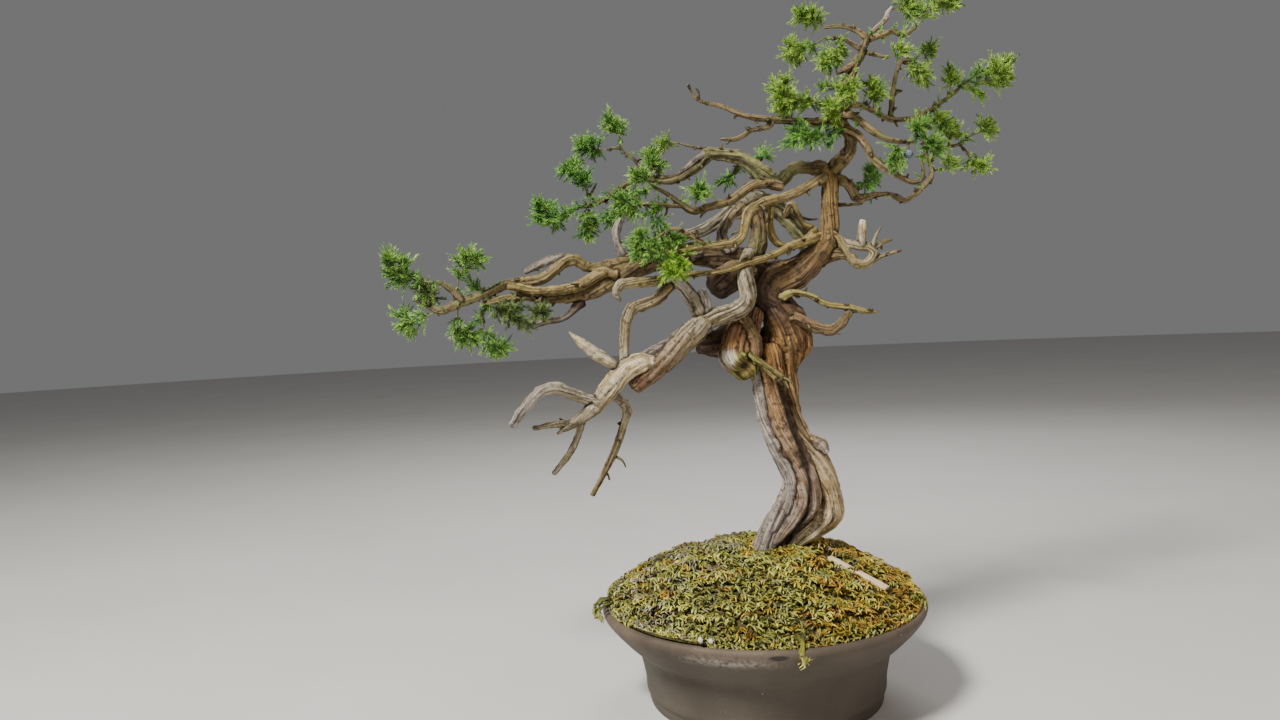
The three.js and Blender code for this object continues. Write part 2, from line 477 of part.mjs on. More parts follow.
// A slim three-sided stem raised from a triangle of corners. Some of its faces are buds, where more can sprout.
function growStem(sprig, base, line, order) {
  const { position, faces, buds } = sprig;
  const corner = (i) => new THREE.Vector3().fromArray(position, 3 * i);
  const put = (point) => position.push(...point) / 3 - 1;
  const axis = line.delta(new THREE.Vector3()).normalize();
  const whorls = Math.max(2, Math.round(line.distance() / WHORL_SPACING));
  let ring = base;
  let middle = new THREE.Triangle(...base.map(corner)).getMidpoint(new THREE.Vector3());
  for (let step = 1; step <= whorls; step += 1) {
    const centre = line.at(step / whorls, new THREE.Vector3());
    const outward = ring.map((_, i) => {
      const edge = corner(ring[i]).add(corner(ring[(i + 1) % WHORL_SIDES])).multiplyScalar(0.5).sub(middle);
      return edge.addScaledVector(axis, -edge.dot(axis)).normalize();
    });
    const size = ARM_RADIUS * (1 - (ARM_TAPER * step) / whorls);
    const next = outward.map((direction) => put(centre.clone().addScaledVector(direction, size)));
    for (let i = 0; i < WHORL_SIDES; i += 1) {
      const j = (i + 1) % WHORL_SIDES;
      const face = faceOn(sprig, [ring[i], ring[j], next[i]]);
      const foot = middle.clone().lerp(centre, 0.5).addScaledVector(outward[i], size * 0.4);
      const forArm = order > 0 && (step + i) % SIDE_ARM_EVERY[order] === 0;
      buds.push({ face, foot, axis, outward: outward[i], order, forArm, bare: true });
      faces.push(face, faceOn(sprig, [ring[j], next[j], next[i]]));
    }
    ring = next;
    middle = centre;
  }
  const tip = put(line.end.clone().addScaledVector(axis, NEEDLE_LENGTH * 0.5));
  for (let i = 0; i < WHORL_SIDES; i += 1) faces.push(faceOn(sprig, [ring[i], ring[(i + 1) % WHORL_SIDES], tip]));
}

// Puts what grow raises in the place of a bud's face, unless it would cross something
function raise(sprig, bud, lean, reach, radius, grow) {
  const way = sproutDirection(bud.axis, bud.outward, lean);
  const line = new THREE.Line3(bud.foot, bud.foot.clone().addScaledVector(way, reach));
  if (!isClear(sprig.name, line, radius)) return;
  const others = sprig.faces.filter((face) => face !== bud.face);
  const raised = { ...sprig, position: [...sprig.position], faces: [], buds: [] };
  grow(raised, bud.face.corners, line);
  if (raised.faces.some((face) => others.some((other) => crosses(face, other)))) return;
  bud.bare = false;
  placed.push({ name: sprig.name, line, radius });
  sprig.position = raised.position;
  sprig.faces = [...others, ...raised.faces];
  sprig.buds.push(...raised.buds);
}
function raiseArm(sprig, bud) {
  const reach = sprig.radius * (0.6 + 0.3 * random()) * (bud.order > 1 ? 1 : 0.6);
  raise(sprig, bud, SIDE_ARM_LEAN, reach, ARM_RADIUS, (raised, base, line) => {
    growStem(raised, base, line, bud.order - 1);
  });
}
function raiseNeedle(sprig, bud) {
  const lean = NEEDLE_LEAN + (random() - 0.5) * 0.4;
  const reach = NEEDLE_LENGTH * (0.7 + 0.5 * random());
  raise(sprig, bud, lean, reach, NEEDLE_RADIUS, (raised, base, line) => {
    const tip = raised.position.push(...line.end) / 3 - 1;
    base.forEach((corner, i) => raised.faces.push(faceOn(raised, [corner, base[(i + 1) % base.length], tip])));
  });
}

// A spray: its stem, then the side arms on it and on each other, then needles on the faces that are still bare
const NEEDLE_TRIES = 3;
function sprayGeometry({ name, radius, stem }) {
  const axis = stem.delta(new THREE.Vector3()).normalize();
  const turn = new THREE.Quaternion().setFromUnitVectors(new THREE.Vector3(0, 1, 0), axis);
  const sprig = { name, radius, position: [], faces: [], buds: [] };
  for (let side = 0; side < WHORL_SIDES; side += 1) {
    const angle = (side / WHORL_SIDES) * 2 * Math.PI;
    const outward = new THREE.Vector3(Math.sin(angle), 0, Math.cos(angle)).applyQuaternion(turn);
    sprig.position.push(...stem.start.clone().addScaledVector(outward, ARM_RADIUS));
  }
  sprig.faces.push(faceOn(sprig, [2, 1, 0]));
  growStem(sprig, [0, 1, 2], stem, radius > 17 ? 2 : 1);
  for (const bud of sprig.buds) if (bud.forArm) raiseArm(sprig, bud);
  for (let attempt = 0; attempt < NEEDLE_TRIES; attempt += 1) {
    for (const bud of sprig.buds.filter(({ bare }) => bare)) raiseNeedle(sprig, bud);
  }
  const geometry = new THREE.BufferGeometry();
  geometry.setAttribute("position", new THREE.Float32BufferAttribute(sprig.position, 3));
  geometry.setIndex(sprig.faces.flatMap(({ corners }) => corners));
  return geometry;
}

for (const spray of sprays) {
  const solid = solidOf(sprayGeometry(spray)).subtract(aroundTree);
  addPiece(`foliage_${spray.name}`, geometryOf(largestBody(solid)), foliage);
}

// The pot: a flat foot with a groove over it, a slightly flared wall and a wide lip that turns out and is rounded
const LIP_ROOT = RIM_HEIGHT - 39;
const POT_OUTSIDE = [
  [FOOT_RADIUS, 0],
  [FOOT_RADIUS + 1.5, 2],
  [FOOT_RADIUS + 1.5, 9],
  [FOOT_RADIUS + 4, 11],
  [WALL_RADIUS, LIP_ROOT - 3],
  [WALL_RADIUS + 1, LIP_ROOT],
  [RIM_RADIUS - 20, RIM_HEIGHT - 30],
  [RIM_RADIUS - 7, RIM_HEIGHT - 16],
  [RIM_RADIUS - 1, RIM_HEIGHT - 8],
  [RIM_RADIUS, RIM_HEIGHT - 4],
  [RIM_RADIUS - 1.5, RIM_HEIGHT - 0.5],
  [RIM_RADIUS - 5, RIM_HEIGHT],
];
const POT_INSIDE = [
  [RIM_RADIUS - 9, RIM_HEIGHT - 1.5],
  [RIM_RADIUS - 21, RIM_HEIGHT - 14],
  [RIM_RADIUS - 33, RIM_HEIGHT - 26],
  [WALL_RADIUS - WALL_THICKNESS + 2, LIP_ROOT + 3],
  [WALL_RADIUS - WALL_THICKNESS - 1, LIP_ROOT - 9],
  [WALL_RADIUS - WALL_THICKNESS - 3, FLOOR_THICKNESS + 4],
  [WALL_RADIUS - WALL_THICKNESS - 7, FLOOR_THICKNESS],
];
function drainAt(i) {
  const angle = Math.PI / 6 + (i / DRAIN_HOLES) * 2 * Math.PI;
  return [DRAIN_CIRCLE * Math.cos(angle), DRAIN_CIRCLE * Math.sin(angle)];
}
const potProfile = [[0, 0], ...POT_OUTSIDE, ...POT_INSIDE, [0, FLOOR_THICKNESS]];
let pot = solidOf(turned(potProfile, POT_SEGMENTS));
for (let i = 0; i < DRAIN_HOLES; i += 1) {
  const drill = new THREE.CylinderGeometry(DRAIN_RADIUS, DRAIN_RADIUS, 4 * FLOOR_THICKNESS, 12);
  pot = pot.subtract(solidOf(drill.rotateX(Math.PI / 2).translate(...drainAt(i), 0)));
}
addPiece("pot", geometryOf(pot), clay);

// A net over each drain hole: a thin square plate with rows of square holes
const NET_HOLES = 2;
const NET_HOLE_SIDE = 8;
const NET_PITCH = 11;
function netGeometry([x, y]) {
  const floor = FLOOR_THICKNESS + CLEARANCE + NET_THICKNESS / 2;
  let net = solidOf(new THREE.BoxGeometry(NET_SIDE, NET_SIDE, NET_THICKNESS).translate(x, y, floor));
  for (let row = 0; row < NET_HOLES; row += 1) {
    for (let column = 0; column < NET_HOLES; column += 1) {
      const holeX = x + (column - (NET_HOLES - 1) / 2) * NET_PITCH;
      const holeY = y + (row - (NET_HOLES - 1) / 2) * NET_PITCH;
      const punch = new THREE.BoxGeometry(NET_HOLE_SIDE, NET_HOLE_SIDE, 2 * NET_THICKNESS);
      net = net.subtract(solidOf(punch.translate(holeX, holeY, floor)));
    }
  }
  return geometryOf(net);
}
for (let i = 0; i < DRAIN_HOLES; i += 1) {
  addPiece(`drain_net_${i + 1}`, netGeometry(drainAt(i)), netBlack);
}

// Heights of the soil and of the pot's sloped lip at a distance from the middle
function soilTop(radius) {
  const brink = RIM_HEIGHT - 17;
  return brink + (SOIL_TOP - brink) * Math.max(0, 1 - (radius / SOIL_EDGE) ** 2.2);
}
function lipTop(radius) {
  const slope = [[RIM_RADIUS - 5, RIM_HEIGHT], ...POT_INSIDE.slice(0, 3)];
  for (let i = 1; i < slope.length; i += 1) {
    const [outer, high] = slope[i - 1];
    const [inner, low] = slope[i];
    if (radius <= outer && radius >= inner) return low + ((high - low) * (radius - inner)) / (outer - inner);
  }
  return radius > RIM_RADIUS - 5 ? RIM_HEIGHT : 0;
}

// The soil fills the pot in a dome, with plain pockets for the trunk, the roots and the nets
const SOIL_RINGS = [40, 70, 95, SOIL_EDGE - 2];
const soilWall = POT_INSIDE.slice(2).reverse();
const soilProfile = [
  [0, FLOOR_THICKNESS + CLEARANCE],
  ...soilWall.map(([radius, height]) => [radius - 1.5, height + CLEARANCE]),
  ...SOIL_RINGS.map((radius) => [radius, soilTop(radius)]).reverse(),
  [0, SOIL_TOP],
];
let soil = solidOf(turned(soilProfile, POT_SEGMENTS / 2)).subtract(aroundTree);
for (let i = 0; i < DRAIN_HOLES; i += 1) {
  const side = NET_SIDE + 2 * CLEARANCE;
  const pocket = new THREE.BoxGeometry(side, side, 2 * (NET_THICKNESS + 2 * CLEARANCE));
  soil = soil.subtract(solidOf(pocket.translate(...drainAt(i), FLOOR_THICKNESS)));
}
addPiece("soil", geometryOf(largestBody(soil)), earth);

// The moss is a mound of clumps, each a small round swelling, and it spills onto the rim on the left
const MOSS_RINGS = 8;
const MOSS_SPOKES = 40;
const MOSS_LEAST = 3;
const MOSS_BLOCK_BOTTOM = 50;
const clumps = Array.from({ length: MOSS_CLUMPS }, (_, i) => {
  const radius = MOSS_EDGE * Math.sqrt((i + 0.5) / MOSS_CLUMPS);
  const angle = i * GOLDEN_ANGLE;
  return { x: radius * Math.cos(angle), y: radius * Math.sin(angle), size: 0.75 + 0.5 * random() };
});
function mossEdge(angle) {
  return MOSS_EDGE - 3.5 * Math.cos(angle) + 1.5 * Math.sin(5 * angle);
}
function mossFloor(radius) {
  return Math.max(soilTop(radius), lipTop(radius)) + 2 * CLEARANCE;
}
function mossTop(x, y) {
  const radius = Math.hypot(x, y);
  const brink = RIM_HEIGHT + 1;
  const dome = brink + (MOSS_TOP - brink) * (1 - Math.min(1, radius / MOSS_EDGE) ** 2.2);
  const swelling = clumps.reduce((most, clump) => {
    const away = Math.hypot(x - clump.x, y - clump.y) / (MOSS_CLUMP_RADIUS * clump.size);
    return Math.max(most, away < 1 ? (1 - away * away) * clump.size : 0);
  }, 0);
  return Math.max(dome + MOSS_CLUMP_HEIGHT * (swelling - 0.4), mossFloor(radius) + MOSS_LEAST);
}

// A block under the mound's top, from which the room of the soil and the lip is cut
function mossBlock() {
  const position = [0, 0, mossTop(0, 0)];
  const index = [];
  const at = (ring, spoke) => (ring === 0 ? 0 : 1 + (ring - 1) * MOSS_SPOKES + (spoke % MOSS_SPOKES));
  for (let ring = 1; ring <= MOSS_RINGS + 1; ring += 1) {
    for (let spoke = 0; spoke < MOSS_SPOKES; spoke += 1) {
      const angle = (spoke / MOSS_SPOKES) * 2 * Math.PI;
      const radius = (mossEdge(angle) * Math.min(ring, MOSS_RINGS)) / MOSS_RINGS;
      const x = radius * Math.cos(angle);
      const y = radius * Math.sin(angle);
      position.push(x, y, ring > MOSS_RINGS ? MOSS_BLOCK_BOTTOM : mossTop(x, y));
    }
  }
  const bottom = position.length / 3;
  position.push(0, 0, MOSS_BLOCK_BOTTOM);
  for (let spoke = 0; spoke < MOSS_SPOKES; spoke += 1) {
    index.push(0, at(1, spoke), at(1, spoke + 1));
    for (let ring = 1; ring <= MOSS_RINGS; ring += 1) {
      const corners = [at(ring, spoke), at(ring + 1, spoke), at(ring + 1, spoke + 1), at(ring, spoke + 1)];
      index.push(corners[0], corners[1], corners[2], corners[0], corners[2], corners[3]);
    }
    index.push(bottom, at(MOSS_RINGS + 1, spoke + 1), at(MOSS_RINGS + 1, spoke));
  }
  const geometry = new THREE.BufferGeometry();
  geometry.setAttribute("position", new THREE.Float32BufferAttribute(position, 3));
  geometry.setIndex(index);
  return geometry;
}
const underRings = [...SOIL_RINGS, RIM_RADIUS - 21, RIM_RADIUS - 9, RIM_RADIUS - 5, RIM_RADIUS + 5];
const underMoss = turned(
  [
    [0, 0],
    [RIM_RADIUS + 5, 0],
    ...underRings.map((radius) => [radius, mossFloor(radius)]).reverse(),
    [0, mossFloor(0)],
  ],
  POT_SEGMENTS,
);

// A bare flat stick lies half sunk in the moss on the right of the trunk
const STICK = { length: 58, width: 8, thickness: 4, from: [59, -24], to: [99, -58] };
function stickGeometry(grow) {
  const [low, high] = [STICK.from, STICK.to].map(([x, y]) => new THREE.Vector3(x, y, mossTop(x, y)));
  const along = high.clone().sub(low).normalize();
  const across = new THREE.Vector3(-along.y, along.x, 0).normalize();
  const place = new THREE.Matrix4().makeBasis(along, across, along.clone().cross(across));
  place.setPosition(low.lerp(high, 0.5));
  return new THREE.BoxGeometry(STICK.length + grow, STICK.width + grow, STICK.thickness + grow).applyMatrix4(place);
}
const rooms = [aroundTree, solidOf(underMoss), solidOf(stickGeometry(2 * CLEARANCE))];
const moss = rooms.reduce((solid, room) => solid.subtract(room), solidOf(mossBlock()));
addPiece("moss", geometryOf(largestBody(moss)), mossGreen);
addPiece("stick", stickGeometry(0), paleWood);

export default bonsai;
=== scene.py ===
"""Looks of an old juniper bonsai with bleached deadwood, in a round unglazed pot under a mound of moss.

Lengths are in millimetres until a mesh is made. The tree's tables hold [x, z, depth, radius], seen from EYE.
"""

import itertools
import math

import bpy
import numpy as np
from mathutils import Matrix, Vector
from mathutils.bvhtree import BVHTree


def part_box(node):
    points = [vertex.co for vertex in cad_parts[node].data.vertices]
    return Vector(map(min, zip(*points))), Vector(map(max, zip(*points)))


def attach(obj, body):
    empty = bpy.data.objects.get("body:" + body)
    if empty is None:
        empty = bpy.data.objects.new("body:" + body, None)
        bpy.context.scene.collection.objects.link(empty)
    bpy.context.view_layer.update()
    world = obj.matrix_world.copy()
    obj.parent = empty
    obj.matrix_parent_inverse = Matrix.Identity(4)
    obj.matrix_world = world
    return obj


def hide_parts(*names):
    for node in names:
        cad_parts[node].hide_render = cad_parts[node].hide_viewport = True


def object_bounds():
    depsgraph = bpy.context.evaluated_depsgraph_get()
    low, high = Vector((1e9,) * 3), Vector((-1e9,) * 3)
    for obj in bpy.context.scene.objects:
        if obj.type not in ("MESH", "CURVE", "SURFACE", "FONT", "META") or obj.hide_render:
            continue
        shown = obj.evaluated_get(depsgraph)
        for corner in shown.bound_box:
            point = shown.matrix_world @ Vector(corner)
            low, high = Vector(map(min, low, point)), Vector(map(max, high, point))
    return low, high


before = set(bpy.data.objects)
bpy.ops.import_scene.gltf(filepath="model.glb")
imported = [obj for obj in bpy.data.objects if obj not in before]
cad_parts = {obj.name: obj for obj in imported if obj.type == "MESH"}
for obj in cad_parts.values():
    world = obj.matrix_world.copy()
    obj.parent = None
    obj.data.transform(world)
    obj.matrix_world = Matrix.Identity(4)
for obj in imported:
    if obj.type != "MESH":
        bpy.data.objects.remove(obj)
cad_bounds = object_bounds()

MM = 0.001
SEED = 20117

# Sizes that the part's source uses too
RIM_RADIUS = 145
RIM_HEIGHT = 88
FOOT_RADIUS = 104
WALL_RADIUS = 113
WALL_THICKNESS = 10
FLOOR_THICKNESS = 12
MOSS_EDGE = 138
DRAIN_RADIUS = 9
DRAIN_CIRCLE = 55

# The tree is given as it looks from this point: x and z lie on the upright plane Y = 0, and a depth slides a
# point along its line of sight, away from the viewer
EYE = np.array([-100.0, -836.0, 341.0])

# Large numbers that scatter the cells of the noise
CELL_FACTORS = (73856093, 19349663, 83492791)
SCATTER_FACTOR = 1274126177


def seen(points):
    """Points in space for rows of [x, z, depth]."""
    rows = np.array(points, float)
    flat = np.stack([rows[:, 0], np.zeros(len(rows)), rows[:, 1]], axis=1)
    return EYE + (flat - EYE) * (1 - rows[:, 2:3] / EYE[1])


def unit(vectors):
    """Vectors of length one."""
    return vectors / np.maximum(np.linalg.norm(vectors, axis=-1, keepdims=True), 1e-9)


def dots(first, second):
    """The dot product of each pair of rows."""
    return (first * second).sum(axis=1)


def between(first, second, share):
    """Values that lie a share of the way from the first to the second."""
    return first + (second - first) * share


def distances(line):
    """How far along a line each of its points lies."""
    return np.concatenate([[0], np.cumsum(np.linalg.norm(np.diff(line, axis=0), axis=1))])


def circle(sides):
    """The angles of evenly spaced points on a circle."""
    return np.arange(sides) / sides * 2 * math.pi


def turned(radius, angle, height=0.0):
    """Points at a radius and an angle round the Z axis, and at a height."""
    radius, angle, height = np.broadcast_arrays(radius, angle, height)
    return np.stack([radius * np.cos(angle), radius * np.sin(angle), height], axis=-1)


def spoke(ways, pole, angle):
    """The direction square to each way, at an angle round it that is measured from a pole."""
    side = unit(np.cross(ways, pole))
    return side * np.cos(angle) + np.cross(ways, side) * np.sin(angle)


def noise(points):
    """Smooth noise from -1 to 1 at each point, one cell per unit."""
    cell = np.floor(points).astype(np.int64)
    part = points - cell
    part = part * part * (3 - 2 * part)
    total = np.zeros(len(points))
    for corner in itertools.product((0, 1), repeat=3):
        mixed = np.bitwise_xor.reduce((cell + corner) * CELL_FACTORS, axis=1)
        mixed = (mixed ^ (mixed >> 13)) * SCATTER_FACTOR & 0x7FFFFFFF
        weight = np.prod(np.where(corner, part, 1 - part), axis=1)
        total += weight * ((mixed >> 7 & 0xFFFF) / 32767.5 - 1)
    return total


def waves(points, *layers):
    """Noise in layers, each with its scale and its height."""
    return sum(height * noise(points * scale) for scale, height in layers)


def colour(code):
    """Linear red, green, blue and alpha of a colour given as six hex digits."""
    channels = np.array([int(code[i : i + 2], 16) for i in (0, 2, 4)]) / 255
    linear = np.where(channels <= 0.04045, channels / 12.92, ((channels + 0.055) / 1.055) ** 2.4)
    return np.append(linear, 1.0)


def placed(name, data):
    """A new object in the scene."""
    made = bpy.data.objects.new(name, data)
    bpy.context.scene.collection.objects.link(made)
    return made


def new_object(name, points, faces, smooth=True):
    """A mesh object from points in millimetres."""
    mesh = bpy.data.meshes.new(name)
    mesh.from_pydata(np.asarray(points) * MM, [], faces)
    mesh.validate()
    mesh.shade_smooth() if smooth else mesh.shade_flat()
    return placed(name, mesh)


def with_modifiers(made):
    """The mesh that an object's modifiers leave."""
    return bpy.data.meshes.new_from_object(made.evaluated_get(bpy.context.evaluated_depsgraph_get()))


def remeshed(name, rough, voxel, kept=None):
    """One closed mesh round all that a rough object holds, with a share of its faces kept."""
    remesh = rough.modifiers.new("join", "REMESH")
    remesh.mode = "VOXEL"
    remesh.voxel_size = voxel * MM
    if kept:
        rough.modifiers.new("fewer", "DECIMATE").ratio = kept
    shape = with_modifiers(rough)
    shape.name = name
    bpy.data.objects.remove(rough)
    return placed(name, shape)


def vertex_array(mesh, field="co"):
    values = np.empty(len(mesh.vertices) * 3, np.float32)
    mesh.vertices.foreach_get(field, values)
    return values.reshape(-1, 3).astype(float)


def move_points(mesh, points):
    """Puts a mesh's vertices at points in millimetres."""
    mesh.vertices.foreach_set("co", (points * MM).ravel())
    mesh.update()


def set_attribute(made, name, values, kind="FLOAT_COLOR"):
    """A value for each vertex: a colour, a vector, or one number that is kept as a grey."""
    if values.ndim == 1:
        values = np.repeat(values[:, None], 4, axis=1)
    attribute = made.data.attributes.new(name, kind, "POINT")
    field = "color" if kind == "FLOAT_COLOR" else "vector"
    attribute.data.foreach_set(field, np.ascontiguousarray(values, np.float32).ravel())


def paint(made, material):
    made.data.materials.clear()
    made.data.materials.append(material)


def dress(made, material, slot, *replaced):
    """Gives a piece its material and its place in the part."""
    paint(made, material)
    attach(made, "root")
    if replaced:
        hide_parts(*replaced)


# Materials


def new_material(name):
    """A material and its node tree."""
    material = bpy.data.materials.new(name)
    material.use_nodes = True
    return material, material.node_tree


def link(tree, value, socket):
    """Sets a socket to a number or colour, or links another socket to it."""
    if isinstance(value, bpy.types.NodeSocket):
        tree.links.new(value, socket)
    else:
        socket.default_value = value


def node(tree, kind, sockets, values):
    """A node whose sockets have been set or linked."""
    made = tree.nodes.new(kind)
    for socket, value in zip(sockets, values):
        link(tree, value, made.inputs[socket])
    return made


def attribute(tree, name, field="Color"):
    made = tree.nodes.new("ShaderNodeAttribute")
    made.attribute_name = name
    return made.outputs[field]


def object_place(tree):
    return tree.nodes.new("ShaderNodeTexCoord").outputs["Object"]


def noise_texture(tree, place, scale, detail=4.0, roughness=0.6):
    sockets = ("Vector", "Scale", "Detail", "Roughness")
    return node(tree, "ShaderNodeTexNoise", sockets, (place, scale, detail, roughness)).outputs["Fac"]


def spread(tree, value, low, high, to_low=0.0, to_high=1.0):
    """Stretches low..high to to_low..to_high and clamps."""
    sockets = ("Value", "From Min", "From Max", "To Min", "To Max")
    return node(tree, "ShaderNodeMapRange", sockets, (value, low, high, to_low, to_high)).outputs["Result"]


def mix(tree, share, first, second):
    """The first colour with a share of the second. A mix node's colour sockets have numbers 6 and 7."""
    made = tree.nodes.new("ShaderNodeMix")
    made.data_type = "RGBA"
    for socket, value in ((0, share), (6, first), (7, second)):
        link(tree, value, made.inputs[socket])
    return made.outputs[2]


def layered(tree, base, *layers):
    """A base colour under layers, each of them a value, the range in which it shows, and a colour."""
    for value, span, tint in layers:
        base = mix(tree, spread(tree, value, *span), base, tint)
    return base


def coat(tree, base, roughness, shine=0.5, height=None, depth=0.0, strength=1.0):
    """Gives the surface its colour, its roughness, its shine and its relief in metres."""
    surface = tree.nodes["Principled BSDF"]
    link(tree, base, surface.inputs["Base Color"])
    link(tree, roughness, surface.inputs["Roughness"])
    link(tree, shine, surface.inputs["Specular IOR Level"])
    if height is not None:
        relief = node(tree, "ShaderNodeBump", ("Height", "Distance", "Strength"), (height, depth, strength))
        link(tree, relief.outputs["Normal"], surface.inputs["Normal"])


def wood_material():
    """Weathered wood: pale ridges and dark grooves along each limb's own grain, with patches and specks, and
    painted shade in its creases, cracks and hollows.
    """
    material, tree = new_material("weathered_wood")
    grain = attribute(tree, "grain", "Vector")
    place = object_place(tree)
    groove = attribute(tree, "groove")
    streaks = noise_texture(tree, grain, 0.5, 5.0)
    fine = noise_texture(tree, grain, 1.9, 4.0, 0.65)
    patches = noise_texture(tree, place, 55.0, 4.0, 0.65)
    specks = noise_texture(tree, place, 240.0, 3.0, 0.7)
    flecks = noise_texture(tree, place, 120.0, 3.0)
    base = layered(
        tree,
        groove,
        (streaks, (0.38, 0.54), attribute(tree, "ridge")),
        (patches, (0.48, 0.62, 0.0, 0.75), attribute(tree, "patch")),
        (fine, (0.35, 0.5, 0.85, 0.0), groove),
        (specks, (0.57, 0.66, 0.0, 0.8), groove),
        (flecks, (0.55, 0.64, 0.0, 0.6), groove),
        # painted shade: the shade attribute darkens the creases between limbs, the cracks, the scar's sunken
        # middle and the gap down the trunk
        (attribute(tree, "shade", "Fac"), (0.0, 0.8, 0.0, 0.92), colour("1c120b")),
    )
    height = mix(tree, 0.2, mix(tree, 0.4, streaks, fine), specks)
    coat(tree, base, spread(tree, fine, 0.3, 0.7, 0.92, 0.7), 0.3, height, 0.003)
    return material


def leaf_material():
    """Waxy green needles, each with its own tone, a little mottled."""
    material, tree = new_material("juniper_needles")
    mottle = noise_texture(tree, object_place(tree), 700.0, 3.0)
    base = layered(tree, attribute(tree, "tone"), (mottle, (0.35, 0.65, 0.0, 0.35), colour("20381c")))
    coat(tree, base, spread(tree, mottle, 0.3, 0.7, 0.5, 0.66), 0.4)
    return material


def moss_material(name, darkening):
    """Dry and living moss strands, mottled along their length."""
    material, tree = new_material(name)
    mottle = noise_texture(tree, object_place(tree), 520.0, 5.0, 0.7)
    base = layered(tree, attribute(tree, "tone"), (mottle, (0.35, 0.66, darkening, 0.0), colour("2c2a12")))
    coat(tree, base, 0.9, 0.2, mottle, 0.0008)
    return material


def clay_material():
    """Unglazed clay: grey-brown with fired blotches, fine grit, pale specks, a whitish crust, and a crack
    painted as the dark shade inside it.
    """
    material, tree = new_material("unglazed_clay")
    place = object_place(tree)
    blotch = noise_texture(tree, place, 9.0, 5.0)
    grit = noise_texture(tree, place, 900.0, 4.0, 0.7)
    specks = noise_texture(tree, place, 210.0, 2.0, 0.5)
    crumbs = noise_texture(tree, place, 260.0, 4.0, 0.7)
    base = layered(
        tree,
        attribute(tree, "tone"),
        (blotch, (0.35, 0.65), colour("463d32")),
        (grit, (0.35, 0.7, 0.0, 0.35), colour("2a211b")),
        (specks, (0.74, 0.8, 0.0, 0.7), colour("b9ab98")),
        (crumbs, (0.4, 0.58, 0.0, attribute(tree, "crust", "Fac")), colour("a39a8e")),
        # painted shade: the crack is only coloured, near black as the shadow inside it
        (attribute(tree, "crack", "Fac"), (0.3, 0.6, 0.0, 0.85), colour("140d09")),
    )
    coat(tree, base, spread(tree, blotch, 0.3, 0.7, 0.58, 0.78), 0.5, grit, 0.0006, 0.7)
    return material


def grainy_material(name, dark, light, scale, roughness, depth):
    """A rough mottled surface of two tones."""
    material, tree = new_material(name)
    grains = noise_texture(tree, object_place(tree), scale, 5.0, 0.65)
    base = layered(tree, colour(dark), (grains, (0.38, 0.62), colour(light)))
    coat(tree, base, roughness, 0.5, grains, depth)
    return material


def pale_wood_material():
    """Bare split wood with fibres along the stick."""
    material, tree = new_material("bare_split_wood")
    fibres = noise_texture(tree, attribute(tree, "grain", "Vector"), 1.3, 6.0, 0.7)
    base = layered(tree, colour("b08a58"), (fibres, (0.35, 0.6), colour("f3dfb6")))
    coat(tree, base, 0.8, 0.5, fibres, 0.0006)
    return material


# The wood's tones: ridges, grooves and the odd patch
TONES = {
    "bleached": ("c8bfb6", "62574c", "a3978a"),
    "grey": ("a79b8e", "4c4138", "7d6e5f"),
    "bark": ("8f6e50", "33201a", "6b4c36"),
    "brown": ("745640", "2a1b12", "8b6c4f"),
    "amber": ("ad834a", "402613", "835d31"),
    "gold": ("ac8f57", "45311b", "806232"),
    "cream": ("e4d7b8", "8a7650", "ccb07a"),
    "drift": ("b0a58a", "483b2c", "8c8159"),
    "tan": ("a18b62", "40321f", "7b6c3f"),
    "dark": ("5a4535", "21160f", "3f3126"),
    "vein": ("ac9a60", "504226", "857440"),
    "olive": ("98904f", "43381a", "b9b077"),
    # The dark tone is partly painted shade: it stands for wood in shadow, as on the trunk's back strand and
    # under the right wood
    "twig": ("857655", "382c1c", "70733f"),
    "moss": ("8d8a58", "3d3a22", "767c4a"),
}

# Each limb is its tone at the start, its tone at the end, and its points
TRUNK = [
    ("grey", "bleached",
     [[-3, 120, -4, 9], [17, 157, -6, 9.5], [26, 171, -7, 10], [32, 188, -8, 9], [31, 200, -8, 9],
      [25, 214, -7, 8.5], [18, 232, -6, 9], [12, 250, -5, 9], [8, 285, -5, 8], [8, 308, -4, 9]]),
    ("grey", "amber",
     [[10, 118, -8, 9], [17, 140, -8, 9], [31, 155, -9, 11], [44, 172, -9, 13], [45, 190, -9, 12],
      [39, 208, -8, 12], [31, 226, -8, 12], [24, 246, -7, 12], [20, 268, -6, 12], [17, 312, -5, 14]]),
    ("cream", "amber",
     [[20, 124, 2, 9], [32, 137, 1, 9], [50, 148, 0, 11], [63, 160, 0, 14], [65, 176, 0, 12],
      [60, 194, 0, 12], [53, 210, 1, 12], [42, 228, 1, 11], [34, 246, 1, 11], [28, 282, 1, 12],
      [30, 320, 0, 18]]),
    # painted shade: this back strand ends dark so that the gaps between the strands in front of it read as
    # deep shadow
    ("grey", "dark",
     [[18, 116, 12, 12], [30, 140, 12, 14], [45, 165, 12, 18], [48, 185, 12, 17], [33, 228, 11, 15],
      [22, 275, 10, 14], [26, 325, 8, 18]]),
    ("gold", "bleached", [[50, 228, -2, 6], [58, 222, -3, 8], [62, 216, -3, 6]]),
]
HEAD = [
    ("amber", "dark", [[28, 300, 2, 15], [32, 318, 2, 21], [30, 336, 2, 19], [24, 350, 4, 15]]),
    ("bark", "amber", [[2, 345, -6, 12], [-6, 328, -10, 14], [-14, 308, -12, 15], [-4, 293, -12, 11]]),
    ("brown", "dark", [[-5, 325, 8, 18], [-28, 318, 6, 14], [-45, 318, 2, 9]]),
    ("tan", "bark", [[-10, 350, -14, 6], [-3, 335, -18, 7], [4, 320, -20, 6], [5, 300, -20, 4]]),
    ("olive", "vein",
     [[0, 308, -20, 3], [12, 297, -24, 3], [20, 291, -25, 3], [27, 285, -26, 2.6], [32, 275, -27, 1.5]]),
    ("olive", "vein", [[8, 300, -22, 2.2], [16, 290, -26, 2.2], [29, 274, -28, 1.3]]),
]
